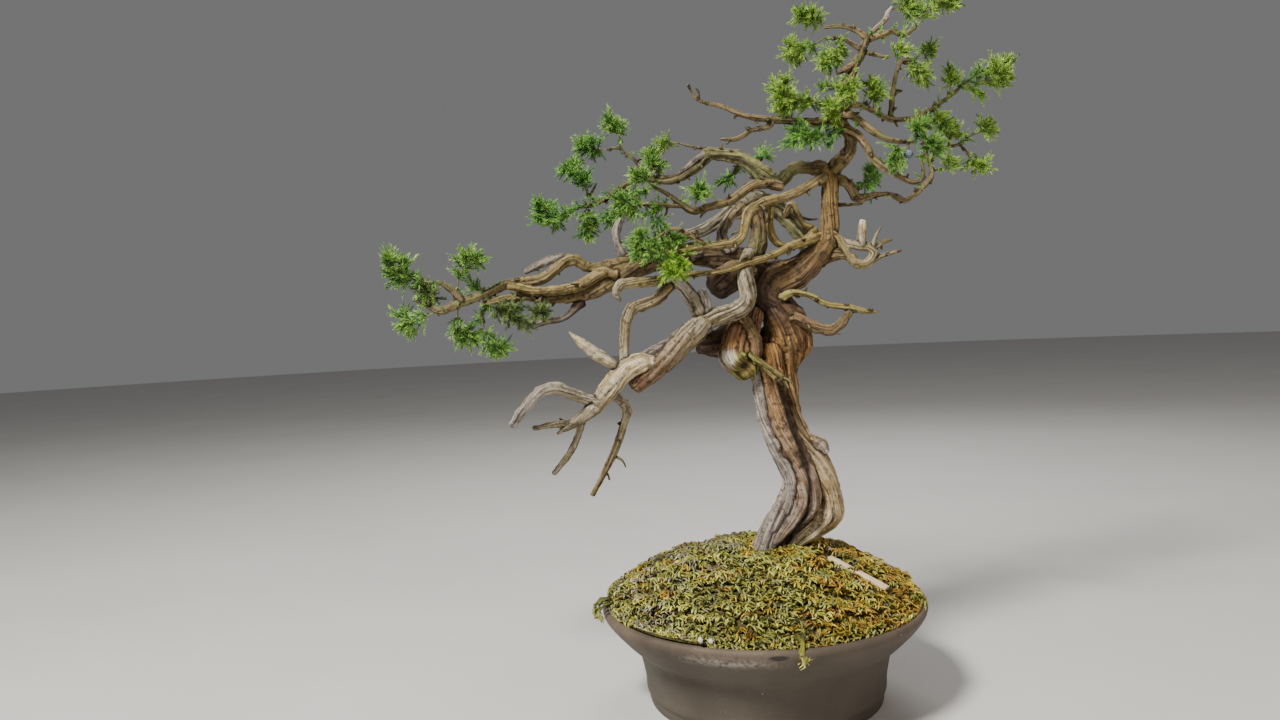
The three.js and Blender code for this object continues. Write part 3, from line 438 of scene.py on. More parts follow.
LOOP = [
    ("drift", "drift",
     [[2, 398, -10, 6], [-2, 385, -20, 7], [-1, 357, -28, 7.5], [-8, 349, -29, 8], [-20, 345, -30, 8],
      [-32, 342, -31, 8.5], [-42, 338, -33, 10]]),
    ("drift", "bleached", [[-45, 345, -33, 7], [-49, 357, -32, 6], [-62, 376, -30, 6], [-71, 379, -29, 4.5]]),
    ("drift", "bleached", [[-40, 345, -32, 6], [-39, 356, -32, 5], [-42, 366, -31, 4]]),
    ("tan", "dark", [[0, 385, 0, 12], [-15, 378, -8, 13], [-28, 370, -14, 13]]),
]
CLAW = [
    ("drift", "bark",
     [[-42, 338, -33, 10], [-52, 329, -36, 11], [-64, 318, -39, 10.5], [-88, 298, -45, 9.5],
      [-106, 284, -48, 7]]),
    ("grey", "grey", [[-55, 335, -30, 5], [-70, 322, -34, 6], [-97, 308, -42, 6], [-105, 302, -46, 6]]),
    ("cream", "drift",
     [[-88, 303, -46, 7], [-100, 303, -48, 9], [-112, 298, -51, 9.5], [-122, 290, -53, 9],
      [-139, 271, -57, 7.5], [-156, 257, -60, 5], [-172, 249, -62, 4]]),
    ("drift", "cream",
     [[-116, 298, -51, 5], [-137, 313, -55, 5], [-149, 323, -57, 4.5], [-162, 335, -59, 1.2]]),
    ("drift", "bleached",
     [[-141, 271, -58, 6], [-151, 274, -61, 5], [-165, 280, -66, 5.5], [-179, 285, -71, 5.5],
      [-190, 283, -75, 5.3], [-207, 267, -80, 4.8], [-218, 253, -82, 3.5]]),
    ("drift", "drift", [[-166, 251, -61, 4], [-176, 253, -64, 3.3], [-199, 250, -70, 2]]),
    ("drift", "tan", [[-170, 249, -62, 3], [-178, 244, -63, 1.2]]),
    ("drift", "tan", [[-167, 251, -61, 2.4], [-175, 258, -60, 1]]),
    ("drift", "drift",
     [[-154, 257, -58, 3.5], [-157, 247, -55, 3.2], [-167, 227, -51, 3], [-183, 208, -47, 2.2]]),
    ("drift", "tan",
     [[-127, 279, -54, 4.5], [-120, 272, -50, 3.6], [-114, 264, -46, 4.3], [-116, 253, -44, 3.6],
      [-130, 220, -40, 3.3], [-149, 187, -36, 2.2]]),
]
STILT = [
    ("tan", "drift",
     [[-66, 375, -27, 5], [-83, 361, -30, 5], [-94, 357, -32, 5.5], [-104, 354, -35, 6],
      [-110, 345, -38, 5], [-114, 316, -46, 4.5], [-113, 303, -49, 5]]),
    ("vein", "drift",
     [[-70, 378, -28, 4], [-92, 377, -31, 5], [-114, 375, -34, 5], [-118, 369, -35, 3.5],
      [-115, 361, -36, 1.5]]),
    ("vein", "vein",
     [[71, 411, 0, 4.5], [60, 408, -8, 4], [40, 402, -18, 3.6], [21, 394, -23, 3.2], [-1, 389, -27, 3.2],
      [-18, 384, -29, 2.6], [-51, 381, -30, 2.4], [-66, 381, -29, 2.5]]),
]
LEFT_BRANCH = [
    ("dark", "tan",
     [[10, 385, 4, 14], [-10, 392, 4, 12], [-35, 398, 4, 11], [-60, 400, 3, 10], [-95, 392, 1, 10],
      [-125, 379, -2, 9.5], [-140, 372, -4, 9], [-165, 366, -7, 6]]),
    ("tan", "twig",
     [[-95, 396, 0, 5], [-121, 395, -2, 4.5], [-134, 392, -3, 4], [-145, 393, -4, 4.5], [-153, 399, -5, 5],
      [-161, 399, -6, 5.5], [-176, 389, -8, 4.5], [-186, 384, -9, 4.5], [-213, 381, -11, 4.3],
      [-238, 372, -15, 4], [-260, 366, -19, 4.5], [-277, 360, -21, 3.5], [-286, 364, -22, 2.5],
      [-299, 370, -24, 1]]),
    ("grey", "grey", [[-158, 399, -4, 4.5], [-168, 402, -4, 4], [-190, 395, -6, 3.5], [-199, 391, -7, 2.5]]),
    ("tan", "vein",
     [[-118, 384, -8, 6], [-130, 387, -10, 5.5], [-150, 377, -13, 5], [-162, 374, -14, 4.5],
      [-190, 373, -16, 4.5], [-214, 379, -17, 4]]),
    ("twig", "twig", [[-257, 367, -19, 4], [-264, 377, -19, 3.6], [-278, 386, -21, 2]]),
    ("tan", "tan",
     [[-165, 366, -7, 5], [-190, 366, -11, 3.5], [-203, 369, -13, 3.3], [-230, 366, -16, 3],
      [-241, 364, -17, 2]]),
    ("twig", "dark", [[-233, 366, -16, 2], [-240, 356, -14, 1.6], [-238, 347, -13, 1.2]]),
    ("dark", "grey",
     [[-150, 362, -4, 5], [-163, 350, -5, 2.8], [-170, 347, -6, 2.6], [-181, 346, -8, 3],
      [-196, 341, -11, 2]]),
    ("dark", "bleached",
     [[-104, 398, 4, 4], [-111, 402, 4, 4.5], [-116, 422, 6, 4], [-113, 431, 7, 3.5], [-108, 436, 8, 2]]),
]
UPPER_LEFT = [
    ("moss", "twig",
     [[42, 470, 12, 5], [36, 463, 14, 6], [28, 460, 18, 7], [19, 466, 22, 8], [9, 475, 26, 7],
      [-1, 482, 29, 6.3], [-22, 487, 34, 6], [-30, 488, 36, 6.5], [-38, 479, 38, 5], [-47, 473, 40, 4.8],
      [-58, 468, 42, 4.8], [-70, 466, 45, 4.5], [-93, 470, 51, 3.2], [-112, 460, 57, 2.6],
      [-127, 451, 62, 2.2], [-133, 451, 64, 1.8], [-138, 457, 66, 1.4]]),
    ("grey", "grey", [[-30, 489, 34, 3.5], [-40, 484, 34, 3], [-59, 471, 40, 2]]),
    ("twig", "twig", [[-30, 492, 36, 1.8], [-48, 496, 39, 1.4], [-57, 499, 41, 1.1]]),
    ("twig", "twig", [[-90, 470, 51, 2.2], [-96, 485, 56, 1.8], [-108, 496, 62, 1.6], [-108, 503, 64, 1.4]]),
    ("twig", "twig", [[-108, 496, 62, 1.6], [-115, 497, 63, 1.4], [-121, 496, 64, 1.2]]),
    ("twig", "twig", [[-125, 452, 61, 2], [-135, 447, 63, 1.8], [-149, 446, 65, 1.4]]),
    ("twig", "dark", [[0, 482, 30, 3], [-8, 470, 40, 2], [-12, 466, 48, 1.4]]),
    ("twig", "dark", [[9, 475, 27, 3], [15, 480, 36, 2], [18, 484, 42, 1.4]]),
    ("tan", "twig",
     [[33, 456, 10, 5], [20, 459, 4, 4.5], [6, 457, -2, 4.2], [-14, 445, -11, 3.8], [-27, 442, -16, 3.4],
      [-46, 438, -23, 3], [-55, 443, -26, 2.8], [-69, 455, -31, 2.2], [-80, 461, -34, 1.6]]),
    ("twig", "twig", [[-56, 443, -27, 2.2], [-70, 444, -30, 2], [-91, 446, -35, 1.8]]),
    ("moss", "grey",
     [[60, 395, 12, 9], [50, 410, 18, 8], [40, 425, 22, 8], [25, 440, 20, 8], [10, 447, 18, 7.5],
      [-4, 441, 16, 7], [-26, 427, 14, 6], [-38, 421, 13, 5.5], [-62, 413, 11, 5], [-74, 402, 8, 5]]),
    ("tan", "vein",
     [[73, 463, 2, 5], [63, 458, -4, 4.2], [52, 452, -10, 4], [40, 447, -16, 4], [16, 442, -25, 4.5],
      [8, 438, -28, 4.8], [2, 432, -30, 4.8], [-1, 422, -32, 4.5], [-4, 413, -34, 4.2], [-11, 408, -36, 4],
      [-30, 406, -40, 3.2], [-50, 404, -44, 2.8], [-64, 401, -47, 1.6]]),
    ("tan", "twig", [[-34, 406, -41, 2.6], [-51, 417, -43, 2], [-65, 423, -45, 1.7], [-78, 417, -47, 1.1]]),
]
TANGLE = [
    ("moss", "brown", [[0, 385, 0, 10], [8, 400, 2, 8.4], [12, 418, 6, 7.4], [10, 435, 12, 7]]),
    ("grey", "tan", [[-15, 400, -4, 7], [-22, 415, -2, 5], [-14, 430, 4, 5], [-2, 440, 12, 5]]),
    ("dark", "grey", [[-40, 400, 0, 6], [-48, 399, -6, 6]]),
    ("vein", "vein",
     [[24, 438, -22, 3], [22, 425, -8, 3.2], [24, 412, -10, 3.4], [31, 404, -10, 3.4], [42, 403, -8, 3.4],
      [53, 408, -4, 3.5], [62, 416, 0, 4]]),
    ("tan", "vein",
     [[36, 430, 16, 3.4], [42, 440, 4, 2.8], [47, 431, 2, 2.6], [52, 422, 0, 2.6], [60, 418, 0, 3]]),
]
RIGHT_WOOD = [
    # painted shade: the right wood starts dark where its underside lies in shadow
    ("dark", "gold",
     [[24, 350, 4, 15], [14, 362, 2, 15], [20, 372, 2, 16], [38, 377, 0, 15], [52, 384, -1, 13],
      [64, 394, -2, 11], [73, 404, -2, 9.5], [75, 415, -1, 8], [76, 438, 1, 7.5], [77, 461, 3, 7.5],
      [72, 470, 4, 7]]),
    ("vein", "drift",
     [[76, 412, -3, 6], [82, 407, -6, 4.5], [87, 399, -8, 4], [91, 391, -9, 4], [97, 385, -10, 4],
      [105, 383, -10, 4], [111, 387, -9, 4], [114, 393, -8, 4], [109, 398, -8, 4], [100, 400, -8, 4],
      [85, 405, -6, 3]]),
    ("brown", "tan", [[66, 390, -2, 8], [78, 393, -4, 6], [88, 392, -7, 4.5], [96, 387, -9, 4]]),
    ("drift", "cream", [[103, 401, -8, 4.2], [104, 412, -9, 4], [105, 422, -10, 3]]),
    ("drift", "drift", [[112, 396, -8, 3], [116, 407, -7, 2], [121, 416, -6, 1]]),
    ("drift", "tan", [[113, 396, -8, 2.5], [122, 402, -6, 2], [130, 404, -4, 1.3]]),
    ("drift", "tan", [[111, 386, -9, 3.2], [121, 390, -7, 2.4], [138, 394, -3, 1.3]]),
    ("olive", "vein",
     [[28, 356, -6, 5], [40, 361, -13, 3.5], [57, 357, -17, 3], [66, 351, -19, 2.8], [75, 348, -21, 2.8],
      [91, 345, -25, 3], [105, 341, -29, 2.4], [116, 340, -32, 1.1]]),
    ("brown", "tan",
     [[30, 334, -6, 8], [40, 338, -10, 6], [57, 330, -17, 5], [72, 326, -21, 4.8], [80, 330, -23, 4.6],
      [91, 342, -25, 3.4]]),
    ("dark", "brown", [[30, 345, -4, 6], [38, 347, -5, 5], [44, 345, -6, 4], [48, 336, -10, 4]]),
]
STEM = [
    ("tan", "twig", [[72, 470, 4, 7], [60, 471, 7, 6], [50, 472, 10, 5.5], [42, 470, 12, 5.5]]),
    ("tan", "twig",
     [[80, 462, 3, 6], [93, 455, 9, 4.8], [97, 448, 12, 4.5], [101, 442, 15, 4.6], [109, 443, 19, 3.4],
      [129, 445, 27, 2], [137, 441, 31, 3.2], [143, 438, 33, 2.4], [160, 450, 40, 2.6], [167, 457, 43, 2.4],
      [168, 465, 45, 2.2], [163, 482, 46, 1.8], [162, 494, 46, 1.5]]),
    ("twig", "twig", [[168, 470, 46, 1.8], [173, 480, 49, 1.8], [193, 486, 55, 1.6], [208, 495, 59, 1.2]]),
    ("twig", "twig", [[193, 486, 55, 1.4], [197, 482, 56, 1.3], [203, 475, 58, 1.1]]),
    ("twig", "twig", [[168, 463, 45, 1.5], [175, 465, 46, 1]]),
    ("twig", "twig", [[99, 446, 13, 2], [104, 453, 12, 1.4]]),
    ("twig", "twig", [[77, 437, 3, 4], [86, 437, 4, 2], [105, 437, 8, 1.4]]),
    ("tan", "twig",
     [[76, 464, 3, 7], [85, 474, 2, 6.5], [92, 480, 1, 6], [97, 488, 0, 5.5], [96, 498, -2, 5],
      [90, 508, -4, 5], [87, 520, -5, 4.5], [88, 532, -6, 4], [92, 542, -6, 4], [99, 548, -6, 3.6],
      [104, 561, -5, 3.6], [110, 570, -4, 3.6], [115, 584, -2, 3.4]]),
]
UPPER_RIGHT = [
    ("tan", "twig", [[114, 583, -2, 3], [109, 588, 1, 2.4], [94, 594, 7, 2], [78, 594, 12, 1.5]]),
    ("tan", "twig", [[109, 573, -3, 2.6], [99, 580, 3, 2.1], [92, 584, 6, 2], [80, 584, 11, 1.5]]),
    ("tan", "twig", [[111, 571, -3, 2.4], [118, 569, -6, 2.2], [132, 565, -10, 1.4]]),
    ("tan", "brown", [[103, 561, -4, 3.5], [96, 557, -8, 3.4], [87, 553, -12, 1.4]]),
    ("tan", "bleached",
     [[115, 583, -2, 3], [121, 589, 0, 2.6], [132, 599, 3, 2.4], [134, 604, 4, 2.3], [138, 609, 5, 1.6]]),
    ("tan", "twig",
     [[116, 582, -2, 3.2], [130, 586, -6, 2.6], [139, 588, -8, 2.4], [146, 584, -10, 2.2],
      [158, 590, -12, 1.8]]),
    ("tan", "twig",
     [[88, 518, -3, 3.5], [98, 524, 4, 3], [108, 524, 10, 2.8], [126, 514, 20, 2.6], [133, 511, 24, 3],
      [152, 511, 34, 2.4], [171, 519, 42, 2.4], [190, 531, 51, 2.2], [200, 540, 56, 1.8]]),
    ("twig", "twig",
     [[133, 512, 24, 3], [134, 520, 25, 2.6], [138, 544, 28, 2.2], [145, 561, 30, 2.2],
      [156, 562, 32, 1.4]]),
    ("tan", "twig",
     [[88, 516, -6, 4], [98, 516, -10, 3.5], [113, 504, -18, 3], [128, 494, -24, 2.6], [138, 491, -27, 2.4],
      [155, 490, -32, 1.8]]),
    ("tan", "twig",
     [[92, 504, -5, 4], [102, 499, -9, 3.5], [110, 489, -14, 3.2], [117, 476, -19, 3], [142, 458, -30, 2.4],
      [152, 454, -33, 2.2], [159, 456, -35, 1.8], [160, 476, -36, 1.4]]),
    ("twig", "twig", [[147, 490, -30, 1.4], [148, 486, -30, 1.1], [148, 483, -30, 0.9]]),
    ("twig", "twig", [[88, 529, -6, 3], [80, 529, -12, 2], [72, 530, -17, 1.5]]),
    ("twig", "twig", [[93, 503, -3, 3], [83, 500, -8, 1.8], [77, 498, -10, 1.4]]),
    ("twig", "tan",
     [[86, 515, -8, 4], [70, 512, -14, 3.6], [45, 513, -20, 3.2], [29, 515, -23, 3], [3, 520, -26, 2.3],
      [-14, 528, -28, 2], [-39, 537, -31, 1.4], [-46, 550, -33, 0.6]]),
    ("twig", "tan",
     [[29, 515, -23, 2.8], [25, 510, -22, 2.6], [10, 507, -20, 2.3], [-4, 500, -18, 2.1],
      [-19, 500, -16, 1.2]]),
]

# The tree is made in four closed pieces that run into each other where they join
TREE_PIECES = {
    "tree_trunk": TRUNK + HEAD,
    "tree_claw": LOOP + CLAW + STILT,
    "tree_left": LEFT_BRANCH + UPPER_LEFT + TANGLE,
    "tree_right": RIGHT_WOOD + STEM + UPPER_RIGHT,
}
VOXEL = 0.85
KEPT_FACES = 0.37
LEAST_RADIUS = 0.95
THIN_LIMB = 6
FEWEST_SIDES = 10
MOST_SIDES = 48
CAP_ANGLES = np.radians([22, 48, 72])
END_BULGE = 0.45
NEARBY = 3.0
FAR = 1e3

# The wood's surface: how its grain turns and stretches along a limb and shifts from limb to limb, how wide
# creases between limbs are, the scale and width of cracks, and the scales and heights of waves and lumps
TWIST = 0.012
GRAIN_STRETCH = 0.03
GRAIN_SHIFT = 31.7
CREASE = 1.5
CRACK_SCALE = 0.42
CRACK_WIDTH = 0.16
GRAIN_WAVES = ((0.4, 0.6), (0.95, 0.3))
LUMPS = ((0.3, 0.34), (0.8, 0.2))

# How a limb swells: the scale of each noise around and along it, its shift from limb to limb, and its height
BROAD = (1.5, 0.018, 7.7, 0.1)
FLUTES = (3.4, 0.03, 3.1, 0.08)
KNOBS = (0.9, 0.11, 5.3, 0.1)
BURLS = (1.3, 0.3, 2.9, 0.06)
THIN_BURLS = (1.3, 0.3, 2.9, 0.16)

# Short broken twigs on thin live limbs: how far they stand apart, how many are long, their lengths and radii
LIVE_TONES = ("twig", "tan", "vein")
LIVE_RADIUS = 4
SPUR_SPACING = 15
LONG_SPUR_SHARE = 0.22
LONG_SPUR = ((8, 15), (1.5, 1.2, 0.95))
SHORT_SPUR = ((1.2, 4.5), (1.9, 1.4, 1.1))


def smooth_line(anchors, radii, spacing):
    """Points and radii along a centripetal curve through the anchors."""
    padded = np.vstack([2 * anchors[0] - anchors[1], anchors, 2 * anchors[-1] - anchors[-2]])
    line = []
    widths = []
    for i in range(len(anchors) - 1):
        p0, p1, p2, p3 = padded[i : i + 4]
        t0, t1, t2 = (np.linalg.norm(b - a) ** 0.5 for a, b in ((p0, p1), (p1, p2), (p2, p3)))
        leave = ((p1 - p0) / t0 - (p2 - p0) / (t0 + t1) + (p2 - p1) / t1) * t1
        arrive = ((p2 - p1) / t1 - (p3 - p1) / (t1 + t2) + (p3 - p2) / t2) * t1
        count = max(2, math.ceil(np.linalg.norm(p2 - p1) / spacing))
        t = (np.arange(count) / count)[:, None]
        ease = t * t * (3 - 2 * t)
        bend = (t**3 - 2 * t**2 + t) * leave + (t**3 - t**2) * arrive
        line.append((1 - ease) * p1 + ease * p2 + bend)
        widths.append(between(radii[i], radii[i + 1], ease[:, 0]))
    return np.vstack([*line, anchors[-1:]]), np.concatenate([*widths, radii[-1:]])


class Limb:
    """A limb's curve with its radius, its frame and its tones, and the relief of its surface."""

    def __init__(self, tones, anchors, radii, seed):
        self.tones = tones
        self.seed = seed
        radii = np.maximum(radii, LEAST_RADIUS)
        self.line, self.widths = smooth_line(anchors, radii, max(0.8, 0.16 * radii.max()))
        self.tangents = unit(np.gradient(self.line, axis=0))
        normal = unit(np.cross([0.31, -0.9, 0.3], self.tangents[0]))
        normals = []
        for tangent in self.tangents:
            normal = unit(normal - tangent * np.dot(normal, tangent))
            normals.append(normal)
        self.normals = np.array(normals)
        self.binormals = np.cross(self.tangents, self.normals)
        self.along = distances(self.line)
        self.size = self.widths.mean()

    def out(self, ring, angle):
        """The way out from the limb's line at a ring and an angle."""
        return self.normals[ring] * np.cos(angle)[..., None] + self.binormals[ring] * np.sin(angle)[..., None]

    def swelling(self, along, angle):
        """How far the surface stands out, as a share of the radius."""
        around = turned(1.0, angle + TWIST * along, along)
        burls = THIN_BURLS if self.size < THIN_LIMB else BURLS
        swell = 1.0
        for across, lengthwise, shift, height in (BROAD, FLUTES, KNOBS, burls):
            swell = swell + height * noise(around * [across, across, lengthwise] + self.seed * shift)
        return swell

    def tube(self):
        """The limb's points and faces, with a low dome at each end."""
        sides = int(np.clip(5 * self.widths.max(), FEWEST_SIDES, MOST_SIDES))
        rings = np.pad(np.arange(len(self.line)), len(CAP_ANGLES), "edge")
        caps = np.concatenate([-CAP_ANGLES[::-1], np.zeros(len(self.line)), CAP_ANGLES])
        ring, cap = np.repeat(rings, sides), np.repeat(caps, sides)
        angle = np.tile(circle(sides), len(rings))
        reach = self.widths[ring] * self.swelling(self.along[ring], angle) * np.cos(cap)
        bulge = self.widths[ring] * END_BULGE * np.sin(cap)
        body = self.line[ring] + self.tangents[ring] * bulge[:, None] + self.out(ring, angle) * reach[:, None]
        ends, signs = [0, -1], np.array([[-1], [1]])
        tips = self.line[ends] + self.tangents[ends] * signs * self.widths[ends][:, None] * END_BULGE
        return np.vstack([body, tips]), ring_faces(len(rings), sides)

    def near(self, points):
        """For each point: the gap to the surface, the places along and around the limb, and the way out."""
        margin = 1.3 * self.widths.max() + NEARBY
        inside = (points > self.line.min(axis=0) - margin) & (points < self.line.max(axis=0) + margin)
        chosen = np.flatnonzero(inside.all(axis=1))
        found = nothing_near(len(points))
        close = points[chosen]
        ring = ((self.line**2).sum(axis=1) - 2 * close @ self.line.T).argmin(axis=1)
        offset = close - self.line[ring]
        forward = dots(offset, self.tangents[ring])
        sideways = offset - self.tangents[ring] * forward[:, None]
        beyond = ((ring == 0) & (forward < 0)) | ((ring == len(self.line) - 1) & (forward > 0))
        along = self.along[ring] + np.where(beyond, 0, forward)
        angle = np.arctan2(dots(offset, self.binormals[ring]), dots(offset, self.normals[ring]))
        away = np.hypot(np.linalg.norm(sideways, axis=1), np.where(beyond, forward / END_BULGE, 0))
        gap = away - self.widths[ring] * self.swelling(along, angle)
        found[chosen] = np.column_stack([gap, along, angle, unit(offset)])
        return found

    def spurs(self, rng):
        """Short broken twigs on a live limb."""
        if self.tones[1] not in LIVE_TONES or self.widths.min() > LIVE_RADIUS:
            return []
        grown = []
        here = rng.uniform(4, SPUR_SPACING)
        while here < self.along[-1] - 2:
            ring = int(np.searchsorted(self.along, here))
            out = self.out(ring, rng.uniform(0, 2 * math.pi))
            way = unit(out + self.tangents[ring] * rng.uniform(0.1, 1.0))
            lengths, radii = LONG_SPUR if rng.uniform() < LONG_SPUR_SHARE else SHORT_SPUR
            length = self.widths[ring] + rng.uniform(*lengths)
            bend = unit(rng.normal(0, 1, 3)) * length * 0.16
            root = self.line[ring]
            anchors = np.array([root, root + way * length * 0.55 + bend, root + way * length])
            grown.append(Limb(("twig", "twig"), anchors, np.array(radii), self.seed + here))
            here += rng.uniform(0.5, 1.5) * SPUR_SPACING
        return grown


def nothing_near(count):
    """Rows of gap, places along and around, and way out, for points that are far from a limb."""
    return np.array([[FAR, 0, 0, 0, 0, 0]]).repeat(count, axis=0)


def ring_faces(rings, sides):
    """Quads between rings of a tube, and a fan to a tip at each end."""
    side = np.arange(sides)
    after = (side + 1) % sides
    start = np.arange(rings - 1)[:, None] * sides
    quads = np.stack([start + side, start + after, start + sides + after, start + sides + side], axis=-1)
    top = (rings - 1) * sides
    low_fan = np.column_stack([np.full(sides, rings * sides), after, side])
    high_fan = np.column_stack([np.full(sides, rings * sides + 1), top + side, top + after])
    return quads.reshape(-1, 4).tolist() + low_fan.tolist() + high_fan.tolist()


def surface_tree(name):
    """A search tree over a CAD node's faces, in millimetres."""
    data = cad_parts[name].data
    return BVHTree.FromPolygons([v.co / MM for v in data.vertices], [p.vertices for p in data.polygons])


def smoothed(mesh, rounds=2):
    """A mesh's points eased towards their neighbours and back, which takes off steps and keeps the volume."""
    points = vertex_array(mesh) / MM
    edges = np.empty(len(mesh.edges) * 2, np.int32)
    mesh.edges.foreach_get("vertices", edges)
    degree = np.bincount(edges, minlength=len(points))[:, None]
    first, second = edges.reshape(-1, 2).T
    for factor in (0.5, -0.52) * rounds:
        total = np.zeros_like(points)
        np.add.at(total, first, points[second])
        np.add.at(total, second, points[first])
        points = points + factor * (total / np.maximum(degree, 1) - points)
    return points


def grown_limbs(name, table):
    """The limbs of a piece, with the spurs on them."""
    rng = np.random.default_rng(SEED + len(name))
    limbs = []
    for i, (start_tone, end_tone, rows) in enumerate(table):
        rows = np.array(rows, float)
        limbs.append(Limb((start_tone, end_tone), seen(rows), rows[:, 3], i + len(name)))
    return limbs + [spur for limb in limbs for spur in limb.spurs(rng)]


def surface_of(limbs, points):
    """Each point's nearest limb, the places along and around it, and how deep the point is in a crease."""
    owner = np.zeros(len(points), int)
    nearest = nothing_near(len(points))
    second = nothing_near(len(points))
    for i, limb in enumerate(limbs):
        found = limb.near(points)
        nearer = found[:, 0] < nearest[:, 0]
        next_nearest = found[:, 0] < second[:, 0]
        second = np.where(nearer[:, None], nearest, np.where(next_nearest[:, None], found, second))
        nearest = np.where(nearer[:, None], found, nearest)
        owner[nearer] = i
    apart = np.clip((0.93 - dots(nearest[:, 3:], second[:, 3:])) / 0.3, 0, 1)
    crease = np.clip(1 - (second[:, 0] - nearest[:, 0]) / CREASE, 0, 1) * apart
    return owner, nearest[:, 1], nearest[:, 2], crease


# Marks on the trunk's front, in x and z as seen: a healed scar on the head, the pale patch beside it, and a
# gap that runs down the trunk, whose line holds [x, z, half width]. The scar's sunken middle and the gap are
# darkened with painted shade
SCAR_MIDDLE = (-6, 297)
SCAR_RADIUS = 10
SCAR_TONES = ("a6a455", "4d4a22", "7c8040")
PALE_MIDDLE = (-22, 304)
PALE_RADIUS = 8.5
PALE_TONES = ("efe8dc", "b5a68f", "e0d3bd")
GAP_LINE = np.array([
    [24, 280, 3], [30, 265, 4.2], [34, 246, 4.2], [39, 231, 4], [45, 210, 4.6],
    [48, 198, 2.4], [48, 173, 2], [42, 155, 2], [26, 137, 2.4], [13, 127, 2.4],
])

# How far cracks, creases, the scar's lip, its sunken middle and the gap move the wood out or in
CRACK_RELIEF = -1.1
CREASE_RELIEF = -0.9
LIP_RELIEF = 1.8
DISH_RELIEF = -1.6
GAP_RELIEF = -3.2


def trunk_marks(shape):
    """How much each point belongs to the scar's lip, its sunken middle, the pale patch and the gap down the
    trunk; the sunken middle and the gap get painted shade.
    """
    share = EYE[1] / (EYE[1] - shape[:, 1:2])
    flat = (EYE + (shape - EYE) * share)[:, [0, 2]]
    away = np.linalg.norm(flat - SCAR_MIDDLE, axis=1)
    from_pale = np.linalg.norm(flat - PALE_MIDDLE, axis=1)
    line, widths = smooth_line(GAP_LINE[:, :2], GAP_LINE[:, 2], 2.0)
    from_gap = (np.linalg.norm(flat[:, None] - line[None], axis=2) / widths).min(axis=1)
    powers = [((away - SCAR_RADIUS) / 3) ** 2, (away / 5) ** 2, (from_pale / PALE_RADIUS) ** 4, from_gap**2]
    return np.exp(-np.array(powers)) * (shape[:, 1] < 0)


def tree_piece(name, table, material):
    """The limbs of a piece grown together, with grain, cracks and tones that follow each limb."""
    limbs = grown_limbs(name, table)
    points, faces = [], []
    start = 0
    for limb in limbs:
        body, body_faces = limb.tube()
        faces += [[corner + start for corner in face] for face in body_faces]
        start += len(body)
        points.append(body)
    rough = new_object(name + "_rough", np.vstack(points), faces)
    made = remeshed(name, rough, VOXEL, KEPT_FACES)
    mesh = made.data
    shape = smoothed(mesh)
    owner, along, angle, crease = surface_of(limbs, shape)
    sizes = np.array([limb.size for limb in limbs])[owner]
    lengths = np.array([limb.along[-1] for limb in limbs])[owner]
    grain = np.roll(turned(sizes, angle + TWIST * along, along * GRAIN_STRETCH), 1, axis=1)
    grain += (owner * GRAIN_SHIFT)[:, None]
    strength = np.minimum(1, sizes / THIN_LIMB)
    crack = np.clip(1 - np.abs(noise(grain * CRACK_SCALE + 9)) / CRACK_WIDTH, 0, 1) * strength
    crack *= np.clip(1.6 * noise(grain * [0.8, 0.2, 0.2] + 70) + 0.7, 0, 1)
    lip, dish, pale, gap = trunk_marks(shape) if name == "tree_trunk" else np.zeros((4, len(shape)))
    outwards = (waves(grain, *GRAIN_WAVES) + waves(shape, *LUMPS)) * strength
    outwards += CRACK_RELIEF * crack + CREASE_RELIEF * crease * strength
    outwards += LIP_RELIEF * lip + DISH_RELIEF * dish + GAP_RELIEF * gap
    move_points(mesh, shape)
    move_points(mesh, shape + vertex_array(mesh, "normal") * outwards[:, None])
    blend = np.clip(along / lengths + 0.2 * noise(grain * [3, 0.3, 0.3]), 0, 1)[:, None]
    for index, tone_name in enumerate(("ridge", "groove", "patch")):
        start_tone, end_tone = (
            np.array([colour(TONES[limb.tones[end]][index]) for limb in limbs])[owner] for end in (0, 1)
        )
        tone = between(start_tone, end_tone, blend)
        tone = between(tone, colour(SCAR_TONES[index]), np.clip(lip + dish, 0, 0.85)[:, None])
        tone = between(tone, colour(PALE_TONES[index]), 0.8 * pale[:, None])
        set_attribute(made, tone_name, tone)
    # painted shade: darker in the creases between limbs, inside cracks, in the scar's sunken middle and along
    # the gap down the trunk
    shade = np.clip(np.maximum.reduce([0.9 * crease, 0.8 * crack, dish, gap]), 0, 1)
    set_attribute(made, "shade", shade)
    set_attribute(made, "grain", grain, "FLOAT_VECTOR")
    mesh.shade_smooth()
    dress(made, material, "wood", "tree")


def build_tree():
    material = wood_material()
    for name, table in TREE_PIECES.items():
        tree_piece(name, table, material)


# Foliage: twiglets with pairs of needles stand in the place of each spike of a spray, on thin twigs
TWIGLETS_PER_SPIKE = 5
TWIGLETS_AT_LEAST = 26
PAIR_GAP = 1.7
PAIR_TURN = 0.29
NEEDLE_LENGTH = (3.8, 6.2)
NEEDLE_HALF_WIDTH = 0.52
STEM_HALF_WIDTH = 0.55
TWIG_HALF_WIDTH = 0.75
SPIKE_AT_LEAST = 2.5
BERRY_CLEARING = 5.5
ROD_POLE = [0.31, 0.62, 0.72]
NEEDLE_POLE = [0.2, 0.5, 0.84]
TWIG_TONE = "6f6838"
GREENS = {
    "fresh": ("b9dd66", "549038", "1b4019"),
    "sunny": ("d2e868", "74a63a", "2a4f1f"),
    "yellow": ("c8ea50", "78ae30", "30631f"),
    "cool": ("a6d65a", "4b8a36", "1b3d1c"),
    "dull": ("99a55a", "56713a", "2a3f22"),
}
SUNNY_FAMILIES = ("apex", "hook", "right", "top", "wisp")
SPRAY_GREENS = {
    "yellow": ("front_yellow_low",),
    "dull": ("left_grey", "left_inner", "left_small"),
    "cool": ("middle_back", "crown_big", "crown_upper", "crown_side", "crown_low", "apex_low", "right_inner"),
}

